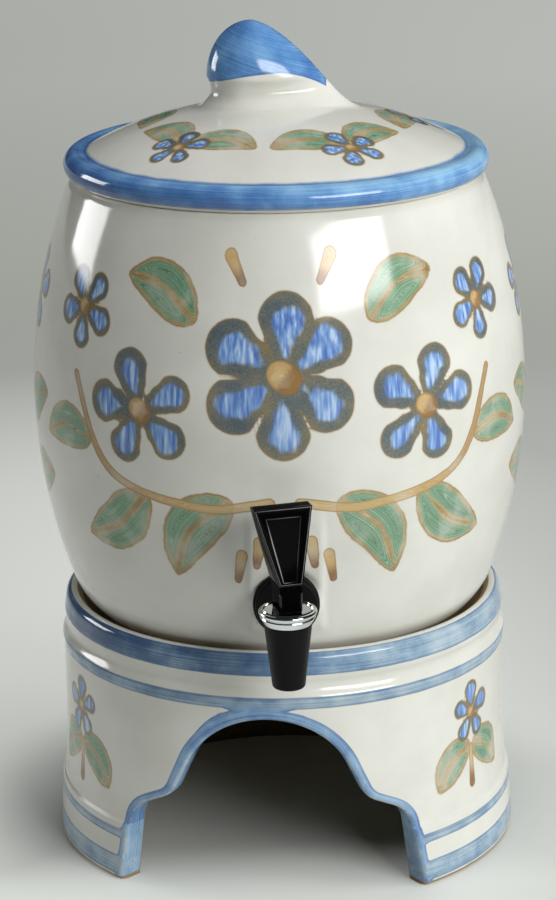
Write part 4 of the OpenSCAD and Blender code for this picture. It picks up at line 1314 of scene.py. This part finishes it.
def plain_finish(name, colour, roughness, metallic=0.0, grain=0.0, shine=0.5):
    """A plastic, rubber or metal with a fine uneven surface."""
    material, tree = new_material(name)
    n = Nodes(tree)
    place = n.add("TexCoord").outputs["Object"]
    fine = n.noise(place, 900.0, 3.0)
    lighter = tuple(c * 1.12 for c in colour[:3]) + (1.0,)
    tint = n.mix(n.ramp(n.noise(place, 60.0, 3.0), 0.3, 0.7), colour, lighter)
    bump = n.add("Bump", {"Height": fine, "Strength": grain, "Distance": 0.0002})
    rough = n.ramp(fine, 0.2, 0.8, roughness * 0.85, roughness * 1.2)
    shader = n.add("BsdfPrincipled", {"Base Color": tint, "Metallic": metallic, "Roughness": rough,
                                      "Normal": bump.outputs["Normal"], "Specular IOR Level": shine})
    n.add("OutputMaterial", {"Surface": shader.outputs["BSDF"]})
    return material


def dress(piece, material):
    piece.data.materials.clear()
    piece.data.materials.append(material)


glaze = glazed_finish(brush_group())
# The lever's black: its flat faces are made to reflect almost nothing, so the lamps do not show in them, and
# its narrow edge faces get a lighter, more reflective copy as a painted glint
gloss_black = plain_finish("gloss_black", rgb(5, 5, 6), 0.1, shine=0.004)
edge_glint = plain_finish("edge_glint", rgb(14, 14, 15), 0.12, shine=0.3)
satin_black = plain_finish("satin_black", rgb(9, 9, 9), 0.4, grain=0.1, shine=0.12)
rubber = plain_finish("black_rubber", rgb(10, 10, 10), 0.6, grain=0.2, shine=0.2)
chrome = plain_finish("chrome", rgb(214, 216, 218), 0.06, 1.0)
steel = plain_finish("steel", rgb(168, 170, 172), 0.3, 1.0, 0.1)
silicone = plain_finish("silicone", rgb(188, 182, 170), 0.5)
white_plastic = plain_finish("white_plastic", rgb(224, 224, 220), 0.45)

stand, crock, lid, lever, spring = make_stand(), make_crock(), make_lid(), make_lever(), make_spring()
paint_stand(stand)
paint_crock(crock)
paint_lid(lid)

for piece, node, body, finish, slot, angle in (
        (stand, "stand", "stand", glaze, "stoneware", 40),
        (crock, "crock", "crock", glaze, "stoneware", 40),
        (lid, "lid", "lid", glaze, "stoneware", 60),
        (make_tap_body(), "tap_body", "crock", satin_black, "black_plastic", 35),
        (make_collar(), "tap_collar", "crock", chrome, "chrome", 35),
        (make_washer(), "outer_washer", "crock", rubber, "black_rubber", 35),
        (spring, "closing_spring", "crock", steel, "steel", 60),
        (lever, "lever", "lever", gloss_black, "black_plastic", 30)):
    smooth(piece, angle)
    dress(piece, finish)
    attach(piece, body)
    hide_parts(node)
# Painted glint on the lever's narrow edge faces
glint_edges(lever, edge_glint_w, edge_glint)
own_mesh(spring)

for node, finish in (("valve_cup", silicone), ("lift_stem", steel), ("lever_pin", steel),
                     ("inner_washer", rubber), ("slip_ring", white_plastic), ("lock_nut", satin_black)):
    dress(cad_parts[node], finish)


# Stage, light and camera

floor_r = 20.0
floor_near, floor_far = rgb(208, 211, 206), rgb(60, 61, 59)
floor_glow = shades((0.1, 208, 211, 206), (0.25, 156, 158, 151), (0.62, 176, 178, 173))
room_dark, room_pale = rgb(46, 47, 46), rgb(176, 178, 172)


def make_floor():
    """A wide pale floor that turns to an even grey away from the object, in metres, with painted light that
    lifts the floor near the object for the camera and in reflections, more on its left.
    """
    pick()
    bpy.ops.mesh.primitive_circle_add(vertices=96, radius=floor_r, fill_type="NGON")
    floor = bpy.context.object
    floor.name = "floor"
    material, tree = new_material("floor")
    n = Nodes(tree)
    place = n.add("TexCoord").outputs["Object"]
    spot = n.add("SeparateXYZ", {"Vector": place}).outputs
    away = n.add("VectorMath", {0: place}, operation="LENGTH").outputs["Value"]
    far = n.ramp(away, 0.6, 1.5)
    around = n.math("MAXIMUM", n.ramp(away, 0.13, 0.22), n.ramp(spot["Y"], -0.04, -0.11))
    # Painted light: near the object the floor glows for the camera and in reflections, more on the left and
    # less to the right, and not close round the stand except in front
    painted_floor_light = n.times(around, n.ramp(spot["X"], -0.05, 0.25, 0.44, 0.06))
    path = n.add("LightPath").outputs
    seen = n.math("MAXIMUM", path["Is Camera Ray"], path["Is Glossy Ray"])
    aside = n.times(n.ramp(spot["X"], -0.6, 0.6, -0.12, 0.08), n.ramp(away, 5.0, 2.5))
    seen = n.times(seen, n.math("ADD", aside, 1.0))
    shader = n.add("BsdfPrincipled", {"Base Color": n.mix(far, floor_near, floor_far), "Roughness": 0.6,
                                      "Emission Color": n.tint(n.times(away, 0.25), floor_glow),
                                      "Emission Strength": n.times(seen, n.math("MAXIMUM", painted_floor_light, far))})
    n.add("OutputMaterial", {"Surface": shader.outputs["BSDF"]})
    dress(floor, material)


def soften(data, fade):
    """Lets an area light fade out towards its edges, like a cloth in front of a lamp."""
    data.use_nodes = True
    n = Nodes(data.node_tree)
    spot = n.add("SeparateXYZ", {"Vector": n.add("NewGeometry").outputs["Parametric"]}).outputs
    sides = [n.math("ABSOLUTE", n.math("SUBTRACT", spot[axis], 0.5)) for axis in ("X", "Y")]
    edge = n.math("MAXIMUM", *sides)
    n.give(data.node_tree.nodes["Emission"].inputs["Strength"], n.ramp(edge, 0.5, 0.5 - fade))


def add_light(name, turn, rise, distance, size, power, fade):
    """An area light that faces the crock, by its angles to the right of the front and up, and in metres."""
    data = bpy.data.lights.new(name, "AREA")
    data.shape = "RECTANGLE"
    data.size, data.size_y = size
    data.energy = power
    soften(data, fade)
    lamp = bpy.data.objects.new(name, data)
    bpy.context.scene.collection.objects.link(lamp)
    turn, rise = math.radians(turn), math.radians(rise)
    way = Vector((math.sin(turn) * math.cos(rise), -math.cos(turn) * math.cos(rise), math.sin(rise)))
    lamp.location = Vector((0, 0, belly_z * MM)) + way * distance
    lamp.rotation_euler = way.to_track_quat("Z", "Y").to_euler()
    return lamp


def add_camera():
    """The photograph's view: a long lens from the front, looking down a little."""
    data = bpy.data.cameras.new("camera")
    data.lens = 120.0
    data.clip_end = 50
    camera = bpy.data.objects.new("camera", data)
    bpy.context.scene.collection.objects.link(camera)
    aside, distance, height = -21.4, -1624.6, 716.8
    yaw, pitch, roll = math.radians(-0.7), math.radians(90 - 16.944), math.radians(-0.929)
    turn = Matrix.Rotation(yaw, 4, "Z") @ Matrix.Rotation(pitch, 4, "X") @ Matrix.Rotation(roll, 4, "Z")
    camera.matrix_world = Matrix.Translation(Vector((aside, distance, height)) * MM) @ turn
    bpy.context.scene.camera = camera


make_floor()
for name, turn, rise, distance, size, power, fade, mirrored in (
        ("key", 37, 21.5, 2.2, (1.65, 0.78), 45, 0.14, True),
        ("right", 80, 20, 2.2, (1.3, 1.3), 22, 0.3, False),
        ("over", 50, 72, 2.2, (1.8, 1.8), 34, 0.3, False),
        ("behind", 150, 55, 2.2, (1.6, 1.6), 16, 0.3, False),
        ("window", -113, 13, 1.8, (0.75, 0.55), 11, 0.06, True)):
    add_light(name, turn, rise, distance, size, power, fade).visible_glossy = mirrored
add_camera()

# The room is as pale as the far floor where the camera sees it, and gives little light of its own
world = bpy.data.worlds.new("studio")
bpy.context.scene.world = world
world.use_nodes = True
n = Nodes(world.node_tree)
room = world.node_tree.nodes["Background"].inputs
n.give(room["Color"], n.mix(n.add("LightPath").outputs["Is Camera Ray"], room_dark, room_pale))

bpy.context.scene.view_settings.view_transform = "Standard"
